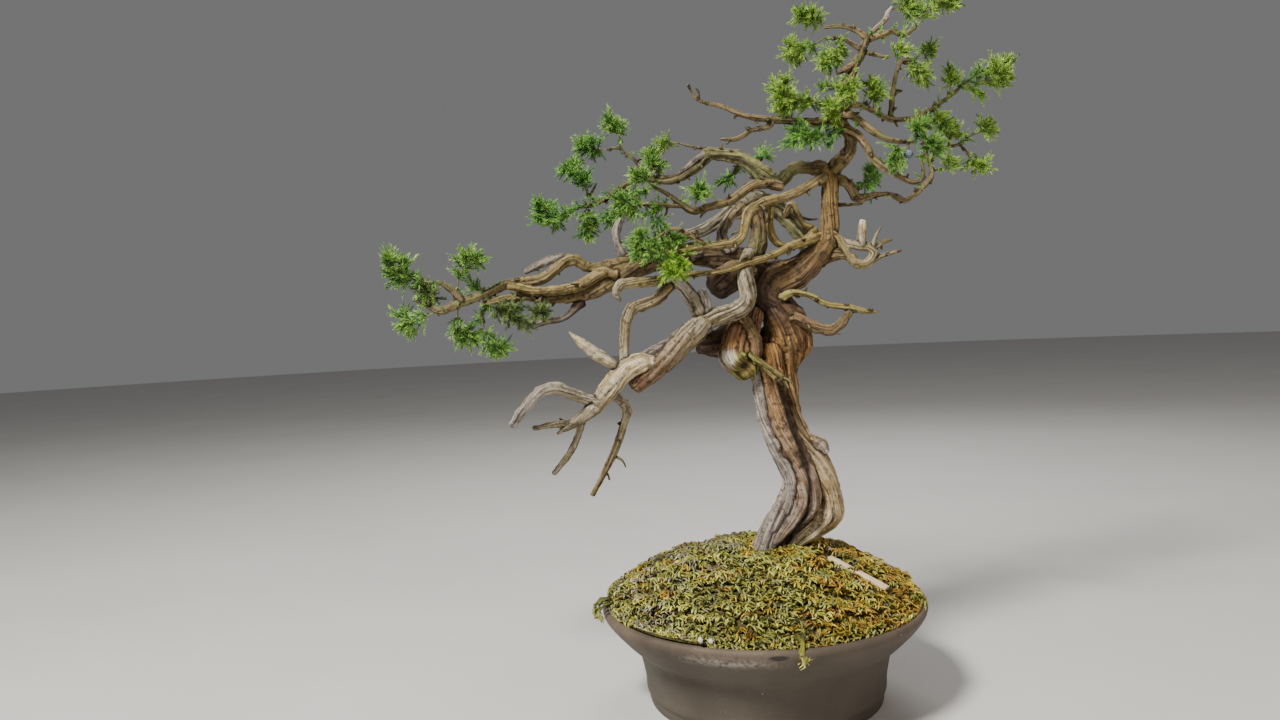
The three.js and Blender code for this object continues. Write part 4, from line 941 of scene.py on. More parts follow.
# Live twigs with leaves along them: their greens, how many twiglets they have, and their points, some of them
# a stretch of one of the limbs above
LEAFY_TWIGS = [
    ("fresh", 16, UPPER_RIGHT[5][2]),
    ("fresh", 8, UPPER_RIGHT[8][2][:3]),
    ("fresh", 8, STEM[7][2][9:11]),
    ("fresh", 8, [[162, 482, 46], [168, 465, 45]]),
    ("fresh", 14, UPPER_RIGHT[6][2][6:]),
    ("fresh", 6, UPPER_RIGHT[7][2][3:]),
    ("fresh", 16, STEM[2][2]),
    ("fresh", 8, UPPER_RIGHT[9][2][5:]),
    ("fresh", 4, STEM[1][2][4:6]),
    ("cool", 12, UPPER_LEFT[0][2][12:15]),
    ("fresh", 12, UPPER_LEFT[0][2][11:13]),
    ("cool", 6, UPPER_LEFT[3][2][1:3]),
    ("fresh", 8, UPPER_LEFT[8][2][5:8]),
    ("fresh", 12, UPPER_LEFT[9][2]),
    ("fresh", 10, UPPER_LEFT[11][2][10:]),
    ("fresh", 22, LEFT_BRANCH[1][2][8:12]),
    ("dull", 10, LEFT_BRANCH[5][2][2:]),
    ("fresh", 10, LEFT_BRANCH[4][2]),
    ("yellow", 34, STEM[7][2][5:10]),
    ("fresh", 24, UPPER_RIGHT[6][2][:4]),
    ("fresh", 46, [[87, 520, -5], [72, 526, -12], [56, 530, -18], [44, 531, -21]]),
    ("fresh", 46, [[88, 512, -6], [74, 508, -12], [62, 500, -17], [54, 494, -19]]),
    ("cool", 30, [[88, 514, -6], [82, 500, -14], [76, 488, -17]]),
    ("yellow", 20, [[92, 538, -6], [82, 542, -10], [70, 542, -14]]),
    ("fresh", 24, [[171, 519, 42], [174, 508, 40], [180, 499, 38]]),
    ("fresh", 34, [[200, 540, 56], [212, 548, 56], [222, 552, 56]]),
    ("yellow", 24, [[200, 540, 56], [209, 532, 53], [217, 526, 51]]),
    ("cool", 36, [[-127, 451, 62], [-142, 448, 62], [-156, 442, 60], [-164, 434, 58]]),
    ("fresh", 26, [[-70, 466, 45], [-84, 460, 44], [-96, 452, 42]]),
    ("cool", 24, [[-69, 444, -30], [-79, 440, -32], [-88, 436, -34]]),
    ("yellow", 24, [[-50, 404, -44], [-62, 399, -46], [-74, 396, -48]]),
    ("cool", 30, [[0, 482, 30], [-8, 470, 40], [-14, 465, 46], [-20, 461, 48]]),
    ("cool", 24, [[9, 475, 27], [15, 481, 36], [17, 486, 42]]),
    ("fresh", 22, [[-238, 372, -15], [-246, 381, -14], [-252, 389, -14]]),
    ("fresh", 22, [[-277, 360, -21], [-288, 366, -22], [-297, 376, -22]]),
    ("cool", 22, [[-230, 366, -16], [-239, 354, -14], [-247, 347, -14]]),
    ("dull", 18, [[-203, 369, -13], [-211, 355, -10], [-218, 346, -8]]),
]


def spray_spikes(node):
    """The points of a spray, and the foot and tip of each spike on its stems."""
    node.data.calc_loop_triangles()
    corners = np.empty(len(node.data.loop_triangles) * 3, np.int32)
    node.data.loop_triangles.foreach_get("vertices", corners)
    points, merged = np.unique(np.round(vertex_array(node.data) / MM, 3), axis=0, return_inverse=True)
    triangles = merged.reshape(-1)[corners].reshape(-1, 3)
    spikes = []
    for tip in np.flatnonzero(np.bincount(triangles.ravel(), minlength=len(points)) == 3):
        base = np.setdiff1d(triangles[(triangles == tip).any(axis=1)], [tip])
        foot = points[base].mean(axis=0)
        if len(base) == 3 and np.linalg.norm(points[tip] - foot) > SPIKE_AT_LEAST:
            spikes.append((foot, points[tip]))
    return points, np.array(spikes)


def spray_root(points, tree):
    """The point of a spray that is nearest the tree."""
    gaps = [tree.find_nearest(Vector(point))[3] for point in points]
    return points[int(np.argmin(gaps))]


def twigs_to(root, feet):
    """Start and end of the thin twigs that join each foot to the nearest one on its way to the root."""
    order = np.argsort(np.linalg.norm(feet - root, axis=1))
    joined = [root]
    starts = []
    for foot in feet[order]:
        gaps = np.linalg.norm(np.array(joined) - foot, axis=1)
        starts.append(joined[int(gaps.argmin())])
        joined.append(foot)
    return np.array(starts), feet[order]


def twiglets_on(spikes, rng):
    """Foot and tip of each twiglet: one in every spike's place and others that lean away from it."""
    feet, ways = spikes[:, 0], spikes[:, 1] - spikes[:, 0]
    copies = max(TWIGLETS_PER_SPIKE - 1, math.ceil(TWIGLETS_AT_LEAST / len(spikes)))
    more_feet = np.repeat(feet, copies, axis=0)
    more_ways = np.repeat(ways, copies, axis=0)
    reach = np.linalg.norm(more_ways, axis=1, keepdims=True)
    lean = unit(more_ways / reach + rng.normal(0, 0.5, more_ways.shape))
    more_feet = more_feet + more_ways * rng.uniform(-0.2, 0.5, reach.shape)
    more_tips = more_feet + lean * reach * rng.uniform(0.5, 1.5, reach.shape)
    return np.vstack([feet, more_feet]), np.vstack([feet + ways, more_tips])


def twiglets_along(line, count, rng):
    """Twiglets that sprout along a live twig."""
    ring = rng.integers(1, len(line) - 1, count)
    along = unit(line[ring + 1] - line[ring - 1])
    ways = unit(0.7 * along + rng.normal(0, 0.7, along.shape) + [0, 0, 0.2])
    return line[ring], line[ring] + ways * rng.uniform(4, 10, (count, 1))


def needles_on(feet, tips, rng):
    """Rows of foot, tip, half width and tone at the foot and the tip: each twiglet's cord and its needles."""
    count = len(feet)
    ways = tips - feet
    lengths = np.linalg.norm(ways, axis=1)
    ways = ways / lengths[:, None]
    depth = rng.normal(0.5, 0.2, count)
    rows = [np.column_stack([feet, tips, np.full(count, STEM_HALF_WIDTH), depth * 0.5, depth])]
    for pair, needle in itertools.product(range(int(lengths.max() / PAIR_GAP) + 1), range(2)):
        share = (pair + 0.3 + rng.uniform(-0.25, 0.25, count)) * PAIR_GAP / lengths
        angle = (needle / 2 + pair * PAIR_TURN) * 2 * math.pi + rng.normal(0, 0.3, count)
        lean = (0.8 - 0.45 * share + rng.normal(0, 0.14, count))[:, None]
        way = ways * np.cos(lean) + spoke(ways, NEEDLE_POLE, angle[:, None]) * np.sin(lean)
        foot = feet + ways * (share * lengths)[:, None]
        size = rng.uniform(*NEEDLE_LENGTH, count) * (1 - 0.3 * np.clip(share, 0, 1))
        tone = depth + 0.25 * (share - 0.5) + rng.normal(0, 0.1, count)
        half = np.full(count, NEEDLE_HALF_WIDTH)
        needles = np.column_stack([foot, foot + way * size[:, None], half, tone - 0.25, tone + 0.3])
        rows.append(needles[share < 1])
    return beside_berry(np.vstack(rows))


def needle_mesh(rows):
    """Points, faces and tones of three-sided needles."""
    feet, tips, half, low, high = rows[:, :3], rows[:, 3:6], rows[:, 6:7], rows[:, 7], rows[:, 8]
    ways = unit(tips - feet)
    corners = [feet + spoke(ways, ROD_POLE, angle) * half for angle in circle(3)]
    points = np.stack([*corners, tips], axis=1)
    points = np.clip(points, np.array(cad_bounds[0]) / MM, np.array(cad_bounds[1]) / MM)
    faces = np.array([[0, 1, 3], [1, 2, 3], [2, 0, 3], [2, 1, 0]])
    faces = faces[None] + (np.arange(len(rows)) * 4)[:, None, None]
    tones = np.stack([low, low, low, high], axis=1)
    return points.reshape(-1, 3), faces.reshape(-1, 3), tones.ravel()


def berry_box():
    """The berry's low and high corner."""
    low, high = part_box("berry")
    return np.array(low) / MM, np.array(high) / MM


def beside_berry(rows):
    """The needles that leave the view of the berry free."""
    low, high = berry_box()
    offset = (rows[:, :3] + rows[:, 3:6]) / 2 - (low + high) / 2
    return rows[(np.hypot(offset[:, 0], offset[:, 2]) > BERRY_CLEARING) | (offset[:, 1] > 0)]


def three_tones(low, middle, high, share):
    """Tones from low over middle to high as the share goes from 0 to 1."""
    return np.where(share < 0.5, between(low, middle, share * 2), between(middle, high, share * 2 - 1))


def twig_mesh(starts, ends):
    """Points and faces of three-sided rods."""
    ways = unit(ends - starts + [0, 0, 1e-6])
    spokes = [spoke(ways, ROD_POLE, angle) * TWIG_HALF_WIDTH for angle in circle(3)]
    points = np.stack([end + out for end in (starts, ends) for out in spokes], axis=1)
    faces = [[2, 1, 0], [3, 4, 5]]
    for a, b in ((0, 1), (1, 2), (2, 0)):
        faces += [[a, b, b + 3], [a, b + 3, a + 3]]
    faces = np.array(faces)[None] + (np.arange(len(starts)) * 6)[:, None, None]
    return points.reshape(-1, 3), faces.reshape(-1, 3)


def leafy_part(twigs, needles, family):
    """Points, faces and tones of thin twigs with their needles."""
    twig_points, twig_faces = twig_mesh(*twigs)
    points, faces, tones = needle_mesh(needles)
    light, middle, dark = (colour(code) for code in GREENS[family])
    greens = three_tones(dark, middle, light, np.clip(tones, 0, 1)[:, None])
    twig_tones = np.tile(colour(TWIG_TONE), (len(twig_points), 1))
    faces = np.vstack([twig_faces, faces + len(twig_points)])
    return np.vstack([twig_points, points]), faces, np.vstack([twig_tones, greens])


def leafy_piece(name, parts, leaf, *replaced):
    """One piece of foliage made of parts."""
    points, faces, tones = zip(*parts)
    starts = np.cumsum([0, *(len(group) for group in points[:-1])])
    faces = [group + start for group, start in zip(faces, starts)]
    made = new_object(name, np.vstack(points), np.vstack(faces), False)
    set_attribute(made, "tone", np.vstack(tones))
    dress(made, leaf, "foliage", *replaced)


def greens_of(short):
    """The family of greens of a spray."""
    for family, members in SPRAY_GREENS.items():
        if short in members:
            return family
    return "sunny" if short.split("_")[0] in SUNNY_FAMILIES else "fresh"


def spray_piece(name, tree, leaf, index):
    """One spray: thin twigs with leafy twiglets in the places of its spikes."""
    rng = np.random.default_rng(SEED + index)
    short = name.removeprefix("foliage_")
    points, spikes = spray_spikes(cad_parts[name])
    twigs = twigs_to(spray_root(points, tree), spikes[:, 0])
    needles = needles_on(*twiglets_on(spikes, rng), rng)
    leafy_piece("spray_" + short, [leafy_part(twigs, needles, greens_of(short))], leaf, name)


def leafy_twigs(leaf):
    """The scattered leaves along the live twigs."""
    rng = np.random.default_rng(SEED)
    parts = []
    for family, count, rows in LEAFY_TWIGS:
        line = smooth_line(seen(rows), np.ones(len(rows)), 1.0)[0]
        needles = needles_on(*twiglets_along(line, count, rng), rng)
        parts.append(leafy_part((line[:-3:3], line[3::3]), needles, family))
    leafy_piece("twig_leaves", parts, leaf)


def build_foliage():
    leaf = leaf_material()
    tree = surface_tree("tree")
    for index, name in enumerate(sorted(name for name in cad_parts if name.startswith("foliage_"))):
        spray_piece(name, tree, leaf, index)
    leafy_twigs(leaf)


# The pot is turned on a wheel: its outline from the foot's middle, up the outside and down the inside
LIP_ROOT = RIM_HEIGHT - 39
WALL_INSIDE = WALL_RADIUS - WALL_THICKNESS
POT_OUTLINE = [
    (FOOT_RADIUS - 12, 0),
    (FOOT_RADIUS, 0),
    (FOOT_RADIUS + 1.5, 2),
    (FOOT_RADIUS + 1.5, 9),
    (FOOT_RADIUS + 4, 11),
    (WALL_RADIUS - 5, 22),
    (WALL_RADIUS, LIP_ROOT - 3),
    (WALL_RADIUS + 1, LIP_ROOT),
    (RIM_RADIUS - 20, RIM_HEIGHT - 30),
    (RIM_RADIUS - 7, RIM_HEIGHT - 16),
    (RIM_RADIUS - 1, RIM_HEIGHT - 8),
    (RIM_RADIUS, RIM_HEIGHT - 4),
    (RIM_RADIUS - 1.5, RIM_HEIGHT - 0.5),
    (RIM_RADIUS - 5, RIM_HEIGHT),
    (RIM_RADIUS - 9, RIM_HEIGHT - 1.5),
    (RIM_RADIUS - 21, RIM_HEIGHT - 14),
    (RIM_RADIUS - 33, RIM_HEIGHT - 26),
    (WALL_INSIDE + 2, LIP_ROOT + 3),
    (WALL_INSIDE - 1, LIP_ROOT - 9),
    (WALL_INSIDE - 3, FLOOR_THICKNESS + 4),
    (WALL_INSIDE - 7, FLOOR_THICKNESS),
]
POT_TURNS = 180
POT_STEP = 2.1
FLOOR_RING = 0.4

UNEVEN = 0.25

# The old chip under the front of the lip: its middle, its half width in radians, its height, how far it
# spreads up and down, and its depth. The short crack is at the right of it
CHIP_ANGLE = math.atan2(-138, -46)
CHIP_HALF = 0.3
CHIP_HEIGHT = RIM_HEIGHT - 9
CHIP_SPREAD = 4.5
CHIP_DEPTH = 2.2
CRACK_MIDDLE = [-6, -143, RIM_HEIGHT - 5.5]
CRACK_SIZE = [9, 6, 2.4]
# The clay's tones at the left and at the right; the darker right one is painted shade, away from the key
# light
POT_TONES = ("5f594d", "47392b")
LIP_TONE = "7c6a55"


def rounded_outline(outline, rounds=2):
    """Corners cut twice, which rounds them a little."""
    for _ in range(rounds):
        inner = [[a * 0.8 + b * 0.2, a * 0.2 + b * 0.8] for a, b in zip(outline[:-1], outline[1:])]
        outline = np.array([outline[0], *itertools.chain(*inner), outline[-1]])
    return outline


def even_outline(outline, step):
    lengths = distances(outline)
    marks = np.linspace(0, lengths[-1], int(lengths[-1] / step))
    return np.stack([np.interp(marks, lengths, outline[:, i]) for i in (0, 1)], axis=1)


def from_chip(points):
    """How far round the pot points are from the chip's middle, in half widths of the chip."""
    turn = np.arctan2(points[:, 1], points[:, 0]) - CHIP_ANGLE
    return np.abs((turn + math.pi) % (2 * math.pi) - math.pi) / CHIP_HALF


def thrown_pot():
    """The turned pot, a little uneven, and chipped under the front of the lip."""
    outline = even_outline(rounded_outline(np.array(POT_OUTLINE, float)), POT_STEP)
    low, high = [outline[0, 0] * FLOOR_RING, 0], [outline[-1, 0] * FLOOR_RING, FLOOR_THICKNESS]
    outline = np.vstack([low, outline, high])
    radius, height = np.repeat(outline, POT_TURNS, axis=0).T
    flat = turned(radius, np.tile(circle(POT_TURNS), len(outline)), height)
    under_lip = np.exp(-(((height - CHIP_HEIGHT) / CHIP_SPREAD) ** 2)) * (radius > RIM_RADIUS - 14)
    chip = np.clip(1 - from_chip(flat) ** 2, 0, 1) * under_lip * np.clip(0.6 + 0.5 * noise(flat * 0.16), 0, 1)
    chip[height > RIM_HEIGHT - 3] = 0
    standing = (height > 1.5) & (radius > FOOT_RADIUS - 20)
    inwards = np.where(standing, UNEVEN * (noise(flat * 0.03) - 1), 0) - CHIP_DEPTH * chip
    points = flat + unit(flat * [1, 1, 0]) * inwards[:, None]
    return np.vstack([points, [[0, 0, 0], [0, 0, FLOOR_THICKNESS]]]), ring_faces(len(outline), POT_TURNS)


def build_pot():
    """The pot with its drain holes, its tones with painted shade towards the right, its whitish crust and its
    crack painted dark as shade.
    """
    pot = new_object("pot_body", *thrown_pot())
    for hole in turned(DRAIN_CIRCLE, math.pi / 6 + circle(3)):
        drill_hole(pot, hole)
    shape = vertex_array(pot.data) / MM
    # painted shade: the clay's tone darkens towards the right, the side away from the key light
    shaded_to_right = np.clip(shape[:, 0] / (2 * RIM_RADIUS) + 0.5, 0, 1)[:, None]
    raised = np.clip((shape[:, 2] - (RIM_HEIGHT - 18)) / 11, 0, 1)[:, None]
    tone = between(*(colour(code) for code in POT_TONES), shaded_to_right)
    set_attribute(pot, "tone", between(tone, colour(LIP_TONE), raised * 0.8))
    crust = np.clip(1.2 - from_chip(shape), 0, 1) * np.exp(-(((shape[:, 2] - CHIP_HEIGHT + 2) / 4) ** 2))
    set_attribute(pot, "crust", crust)
    # painted shade: the crack has no relief, only a near-black stain where the shadow inside it would be
    set_attribute(pot, "crack", np.exp(-(((shape - CRACK_MIDDLE) / CRACK_SIZE) ** 2).sum(axis=1)))
    dress(pot, clay_material(), "clay", "pot")


def drill_hole(pot, hole):
    """Cuts a round drain hole through the pot's floor."""
    sides = 40
    heights = (-5, 0.5 * FLOOR_THICKNESS, 25)
    rings = [turned(DRAIN_RADIUS, circle(sides), height) for height in heights]
    tips = [[0, 0, heights[0]], [0, 0, heights[-1]]]
    drill = new_object("drill", np.vstack([*rings, tips]) + hole, ring_faces(len(rings), sides))
    cut = pot.modifiers.new("cut", "BOOLEAN")
    cut.operation = "DIFFERENCE"
    cut.solver = "MANIFOLD"
    cut.object = drill
    shape = with_modifiers(pot)
    pot.modifiers.remove(cut)
    pot.data = shape
    bpy.data.objects.remove(drill)


# Moss: a dark lumpy bed, its darkness partly painted shade between the tufts, and tufts of curled strands on
# it. Each tone is a strand's root, middle and tip.
MOSS_TONES = {
    "grey": ("4a4630", "979270", "d6cfae"),
    "rose": ("4a3c2c", "988465", "d4c3a4"),
    "green": ("414823", "939650", "d6d68e"),
    "lime": ("484b1f", "b4b34a", "f2ec88"),
    "gold": ("523f17", "bd9c30", "f0d864"),
    "amber": ("4c351a", "a67a30", "dbb25a"),
    "pellet": ("d8d2c4", "efe9dc", "e6dfd0"),
    "litter": ("2b1e14", "3c2b1d", "4d3a29"),
}
MOSS_FAMILIES = list(MOSS_TONES)
# The bed's tones: dark moss, darkened further as painted shade in the gaps between the tufts
BED_TONES = ("55532b", "655430")
BED_VOXEL = 3.6
TUFTS = 1180
TUFT_STRANDS = 8
STRAND_STEPS = 4
STRAND_STEP = 2.5
STRAND_RADII = (0.65, 1.05)
STRAND_REACH = 10
STRAND_TWIST = 0.5
STRAND_POLE = [0.3, 0.2, 0.93]
LIP_BARE = 5
EDGE_TUFTS = 170
CLUMP_HEIGHT = 4.5
CLUMP_SCALE = 0.075
DRIFTED_SHARE = 0.12

# Strands that hang over the rim in front and at the sides, point by point, and how far their copies stray.
# Only those at the left may stand out past the rim
HANGING_STRANDS = [
    [[8, -135, 97], [12, -141, 93], [13, -144, 88], [11, -144.2, 83], [13, -143, 78], [10, -141, 76]],
    [[14, -136, 96], [13, -142, 92], [11, -144.2, 87], [14, -144.2, 82], [16, -143, 79], [18, -141, 80]],
    [[-136, -26, 98], [-143, -28, 98], [-149, -30, 95], [-151, -30, 90], [-149, -31, 86], [-147, -33, 84]],
    [[-134, -34, 97], [-141, -36, 97], [-146, -37, 93], [-147, -39, 89], [-145, -40, 86], [-144, -43, 87]],
    [[-138, -18, 98], [-145, -19, 97], [-150, -21, 93], [-150, -24, 89], [-147, -25, 88], [-146, -22, 86]],
    [[128, -52, 96], [133, -54, 96], [136, -57, 93], [137, -58, 90], [136, -61, 89], [134, -62, 91]],
]
HANGING_COPIES = 7
HANGING_STRAY = 1.6
HANGING_INSET = 1.3
LEFT_SIDE = -100

# What lies on the moss: its tones, its radius, its middle and how far it reaches
LITTER = [
    ("pellet", 2.3, [-64, -128, 94], [2.6, 1, 0.6]),
    ("pellet", 2.1, [-56, -129, 93], [2.2, -1, 1]),
    ("litter", 1.0, [-37, -60, 125], [9, -4, 5]),
    ("litter", 0.9, [-20, -90, 119], [7, 5, 6]),
    ("litter", 0.9, [32, -95, 107], [10, -3, -6]),
]

# The stick's two bare stretches, where no tuft grows: where they start and end along the stick, and across it
STICK_MIDDLE = (79, -41)
STICK_WAY = math.atan2(-34, 40)
BARE_ALONG = (3, 33)
BARE_ACROSS = (-15, 8)


def moss_surface():
    """A function that gives the height of the moss node's top at x and y, or None beside it."""
    tree = surface_tree("moss")

    def height(x, y):
        hit = tree.ray_cast(Vector((x, y, 400)), Vector((0, 0, -1)))[0]
        return None if hit is None else hit.z

    return height


def moss_families(x, y, rng):
    """Which family of tones a tuft has: greyish at the left and back, green in front, golden at the right."""
    left = np.clip((-x + 0.6 * y + 10) / 110, 0, 1)
    right = np.clip((x - 5) / 75, 0, 1)
    back = np.clip((y + 20) / 90, 0, 1)
    weights = np.stack(
        [
            0.9 * left + 0.3 * back,
            0.45 * left + 0.5 * back,
            0.6 * (1 - right) + 0.1,
            0.9 + 0.3 * (1 - left),
            1.6 * right + 0.2,
            0.9 * right + 0.08,
        ],
        axis=1,
    )
    shares = np.cumsum(weights / weights.sum(axis=1, keepdims=True), axis=1)
    return (rng.uniform(0, 1, (len(x), 1)) > shares).sum(axis=1).clip(0, shares.shape[1] - 1)


def tuft_places(height, rng):
    """Tufts in a spiral over the mound, and a row of them along its edge."""
    share = (np.arange(TUFTS) + 0.5) / TUFTS
    angle = np.arange(TUFTS) * math.pi * (3 - math.sqrt(5)) + rng.normal(0, 0.02, TUFTS)
    radius = (MOSS_EDGE + 2 - 3.5 * np.cos(angle)) * np.sqrt(share)
    tufts = []
    for x, y, _ in turned(radius, angle):
        z = height(x, y)
        if z is not None:
            tufts.append((x, y, z - 0.5))
    edge = MOSS_EDGE - rng.uniform(0, 2.5, EDGE_TUFTS)
    return np.vstack([tufts, turned(edge, circle(EDGE_TUFTS), RIM_HEIGHT - 0.5)])


def build_moss():
    """The bed and its tufts, the strands that hang over the rim, and what lies on the moss."""
    height = moss_surface()
    rng = np.random.default_rng(SEED)
    build_moss_bed()
    tufts = tuft_places(height, rng)
    clump = np.clip(0.5 + 0.9 * noise(tufts * [CLUMP_SCALE, CLUMP_SCALE, 0] + 40), 0, 1)
    inside = np.clip((MOSS_EDGE - np.hypot(tufts[:, 0], tufts[:, 1])) / 12, 0, 1)
    tufts[:, 2] += CLUMP_HEIGHT * clump * inside
    families = moss_families(tufts[:, 0], tufts[:, 1], rng)
    paths = curled_strands(tufts, rng, height)
    families = np.repeat(families, TUFT_STRANDS)
    drift = rng.uniform(0, 1, len(families)) < DRIFTED_SHARE
    families[drift] = rng.permutation(families)[drift]
    radii = rng.uniform(*STRAND_RADII, len(families))
    clear = ~on_stick(paths[..., 0], paths[..., 1]).any(axis=1)
    # painted light and shade: tufts on raised clumps are lighter and those between them darker, over a random
    # spread of tones
    tuft_tone_and_painted_light = rng.uniform(0.75, 1.15, len(tufts)) * (0.68 + 0.5 * clump)
    light = rng.uniform(0.75, 1.25, len(families)) * np.repeat(tuft_tone_and_painted_light, TUFT_STRANDS)
    material = moss_material("moss_strands", 0.35)
    third = (np.arctan2(paths[:, 0, 1], paths[:, 0, 0]) / (2 * math.pi / 3)) % 3
    for index, name in enumerate(("moss_back", "moss_left", "moss_front")):
        chosen = clear & (third.astype(int) == index)
        make_strands(name, paths[chosen], radii[chosen], families[chosen], light[chosen], material)
    hang_strands(material, rng)
    scatter_litter(material)


def scatter_litter(material):
    """Two pale pellets and a few dark bits of twig."""
    names, radii, middles, reaches = zip(*LITTER)
    families = np.array([MOSS_FAMILIES.index(name) for name in names])
    paths = np.array(middles)[:, None] + np.array(reaches)[:, None] * np.linspace(-0.5, 0.5, 5)[None, :, None]
    make_strands("moss_litter", paths, np.array(radii), families, np.ones(len(LITTER)), material, sides=9)


def pull_in(paths, limit):
    """How much points shrink towards the pot's axis so as to stay within a radius."""
    return np.minimum(1, limit / np.hypot(paths[..., 0], paths[..., 1]))[..., None]


def hang_strands(material, rng):
    """The strands that hang over the rim."""
    paths = np.repeat(np.array(HANGING_STRANDS, float), HANGING_COPIES, axis=0)
    paths += rng.normal(0, HANGING_STRAY, paths.shape) * np.linspace(0.4, 1, paths.shape[1])[None, :, None]
    paths[..., :2] *= np.where(paths[..., :1] > LEFT_SIDE, pull_in(paths, RIM_RADIUS - HANGING_INSET), 1)
    lime, green = MOSS_FAMILIES.index("lime"), MOSS_FAMILIES.index("green")
    families = np.where(paths[:, 0, 0] > LEFT_SIDE, lime, green)
    radii = rng.uniform(0.6, 0.95, len(paths))
    make_strands("moss_overhang", paths, radii, families, rng.uniform(0.8, 1.15, len(paths)), material)


def on_stick(x, y):
    """Whether points lie on a bare stretch of the stick or just in front of it."""
    dx, dy = x - STICK_MIDDLE[0], y - STICK_MIDDLE[1]
    along = np.abs(dx * math.cos(STICK_WAY) + dy * math.sin(STICK_WAY) + 2)
    across = -dx * math.sin(STICK_WAY) + dy * math.cos(STICK_WAY)
    bare = (BARE_ALONG[0] < along) & (along < BARE_ALONG[1])
    return bare & (BARE_ACROSS[0] < across) & (across < BARE_ACROSS[1])


def build_moss_bed():
    """The mound under the strands: a closed lumpy block in the moss node's place."""
    made = remeshed("moss_bed", placed("moss_rough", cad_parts["moss"].data.copy()), BED_VOXEL)
    points = vertex_array(made.data) / MM
    normals = vertex_array(made.data, "normal")
    sunken = np.minimum(0, 1.2 * waves(points, (0.2, 1), (0.5, 0.6)) - 0.9) * (normals[:, 2] > 0.2)
    points += normals * sunken[:, None]
    move_points(made.data, points)
    share = np.clip(0.5 + 0.7 * noise(points * 0.16), 0, 1)[:, None]
    # painted shade: the bed's dark tones and its strong darkening mottle make it read as the shadow between
    # the tufts
    set_attribute(made, "tone", between(*(colour(code) for code in BED_TONES), share))
    made.data.shade_smooth()
    dress(made, moss_material("moss_bed", 0.8), "moss", "moss")


def curled_strands(tufts, rng, height):
    """Paths of strands that spring from each tuft's middle, spread and curl down and around."""
    roots = np.repeat(tufts, TUFT_STRANDS, axis=0)
    count = len(roots)
    heading = rng.uniform(0, 2 * math.pi, count)
    here = roots + turned(1.5, heading)
    curl = rng.normal(0, 0.75, count)
    rise = rng.uniform(0.2, 1.1, count)
    grown = rng.uniform(0.7, 1.15, count)[:, None]
    path = [here]
    for step in range(STRAND_STEPS):
        pitch = rise * math.cos(step / STRAND_STEPS * math.pi * 1.3) * 1.2
        here = here + STRAND_STEP * grown * turned(np.cos(pitch), heading + curl * step, np.sin(pitch))
        path.append(here)
    paths = np.stack(path, axis=1)
    paths[..., :2] *= pull_in(paths, RIM_RADIUS - LIP_BARE)
    for strand in paths:
        for point in strand[1:]:
            ground = height(point[0], point[1])
            low = RIM_HEIGHT - 2.5 if ground is None else ground - 0.5
            point[2] = min(max(point[2], low), low + STRAND_REACH)
    return paths


def make_strands(name, paths, radii, families, light, material, sides=3):
    """Strands thick and thin in turn as leafy moss is, dark at the root and light at the tip."""
    count, rings = paths.shape[:2]
    along = unit(np.gradient(paths, axis=1))
    thickness = np.array([0.7] + [1.15 if ring % 2 else 0.9 for ring in range(1, rings - 1)] + [0.55])
    reach = (radii[:, None] * thickness)[..., None]
    twist = np.arange(rings)[None, :, None] * STRAND_TWIST
    corners = [paths + spoke(along, STRAND_POLE, angle + twist) * reach for angle in circle(sides)]
    body = np.stack(corners, axis=2).reshape(count, rings * sides, 3)
    tips = np.stack([paths[:, 0] - along[:, 0] * 0.8, paths[:, -1] + along[:, -1] * 1.2], axis=1)
    points = np.concatenate([body, tips], axis=1)
    single = []
    for face in ring_faces(rings, sides):
        single += [face] if len(face) == 3 else [face[:3], [face[0], face[2], face[3]]]
    faces = (np.array(single)[None] + (np.arange(count) * points.shape[1])[:, None, None]).reshape(-1, 3)
    made = new_object(name, points.reshape(-1, 3), faces)
    palette = np.array([[colour(code) for code in MOSS_TONES[family]] for family in MOSS_FAMILIES])
    root, middle, tip = (palette[families][:, None, i] for i in range(3))
    share = np.concatenate([np.repeat(np.arange(rings) / (rings - 1), sides), [0, 1]])[None, :, None]
    tones = three_tones(root, middle, tip, share) * light[:, None, None]
    set_attribute(made, "tone", tones.reshape(-1, 4))
    dress(made, material, "moss")


def build_small_pieces():
    """The stick, the berry and the plain materials of the hidden soil and nets."""
    build_stick()
    build_berry()
    soil = grainy_material("potting_soil", "1d140d", "4c3a29", 260.0, 0.95, 0.002)
    net = grainy_material("black_net_plastic", "101010", "242424", 380.0, 0.5, 0.0003)
    for name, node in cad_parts.items():
        if name == "soil" or name.startswith("drain_net"):
            paint(node, soil if name == "soil" else net)


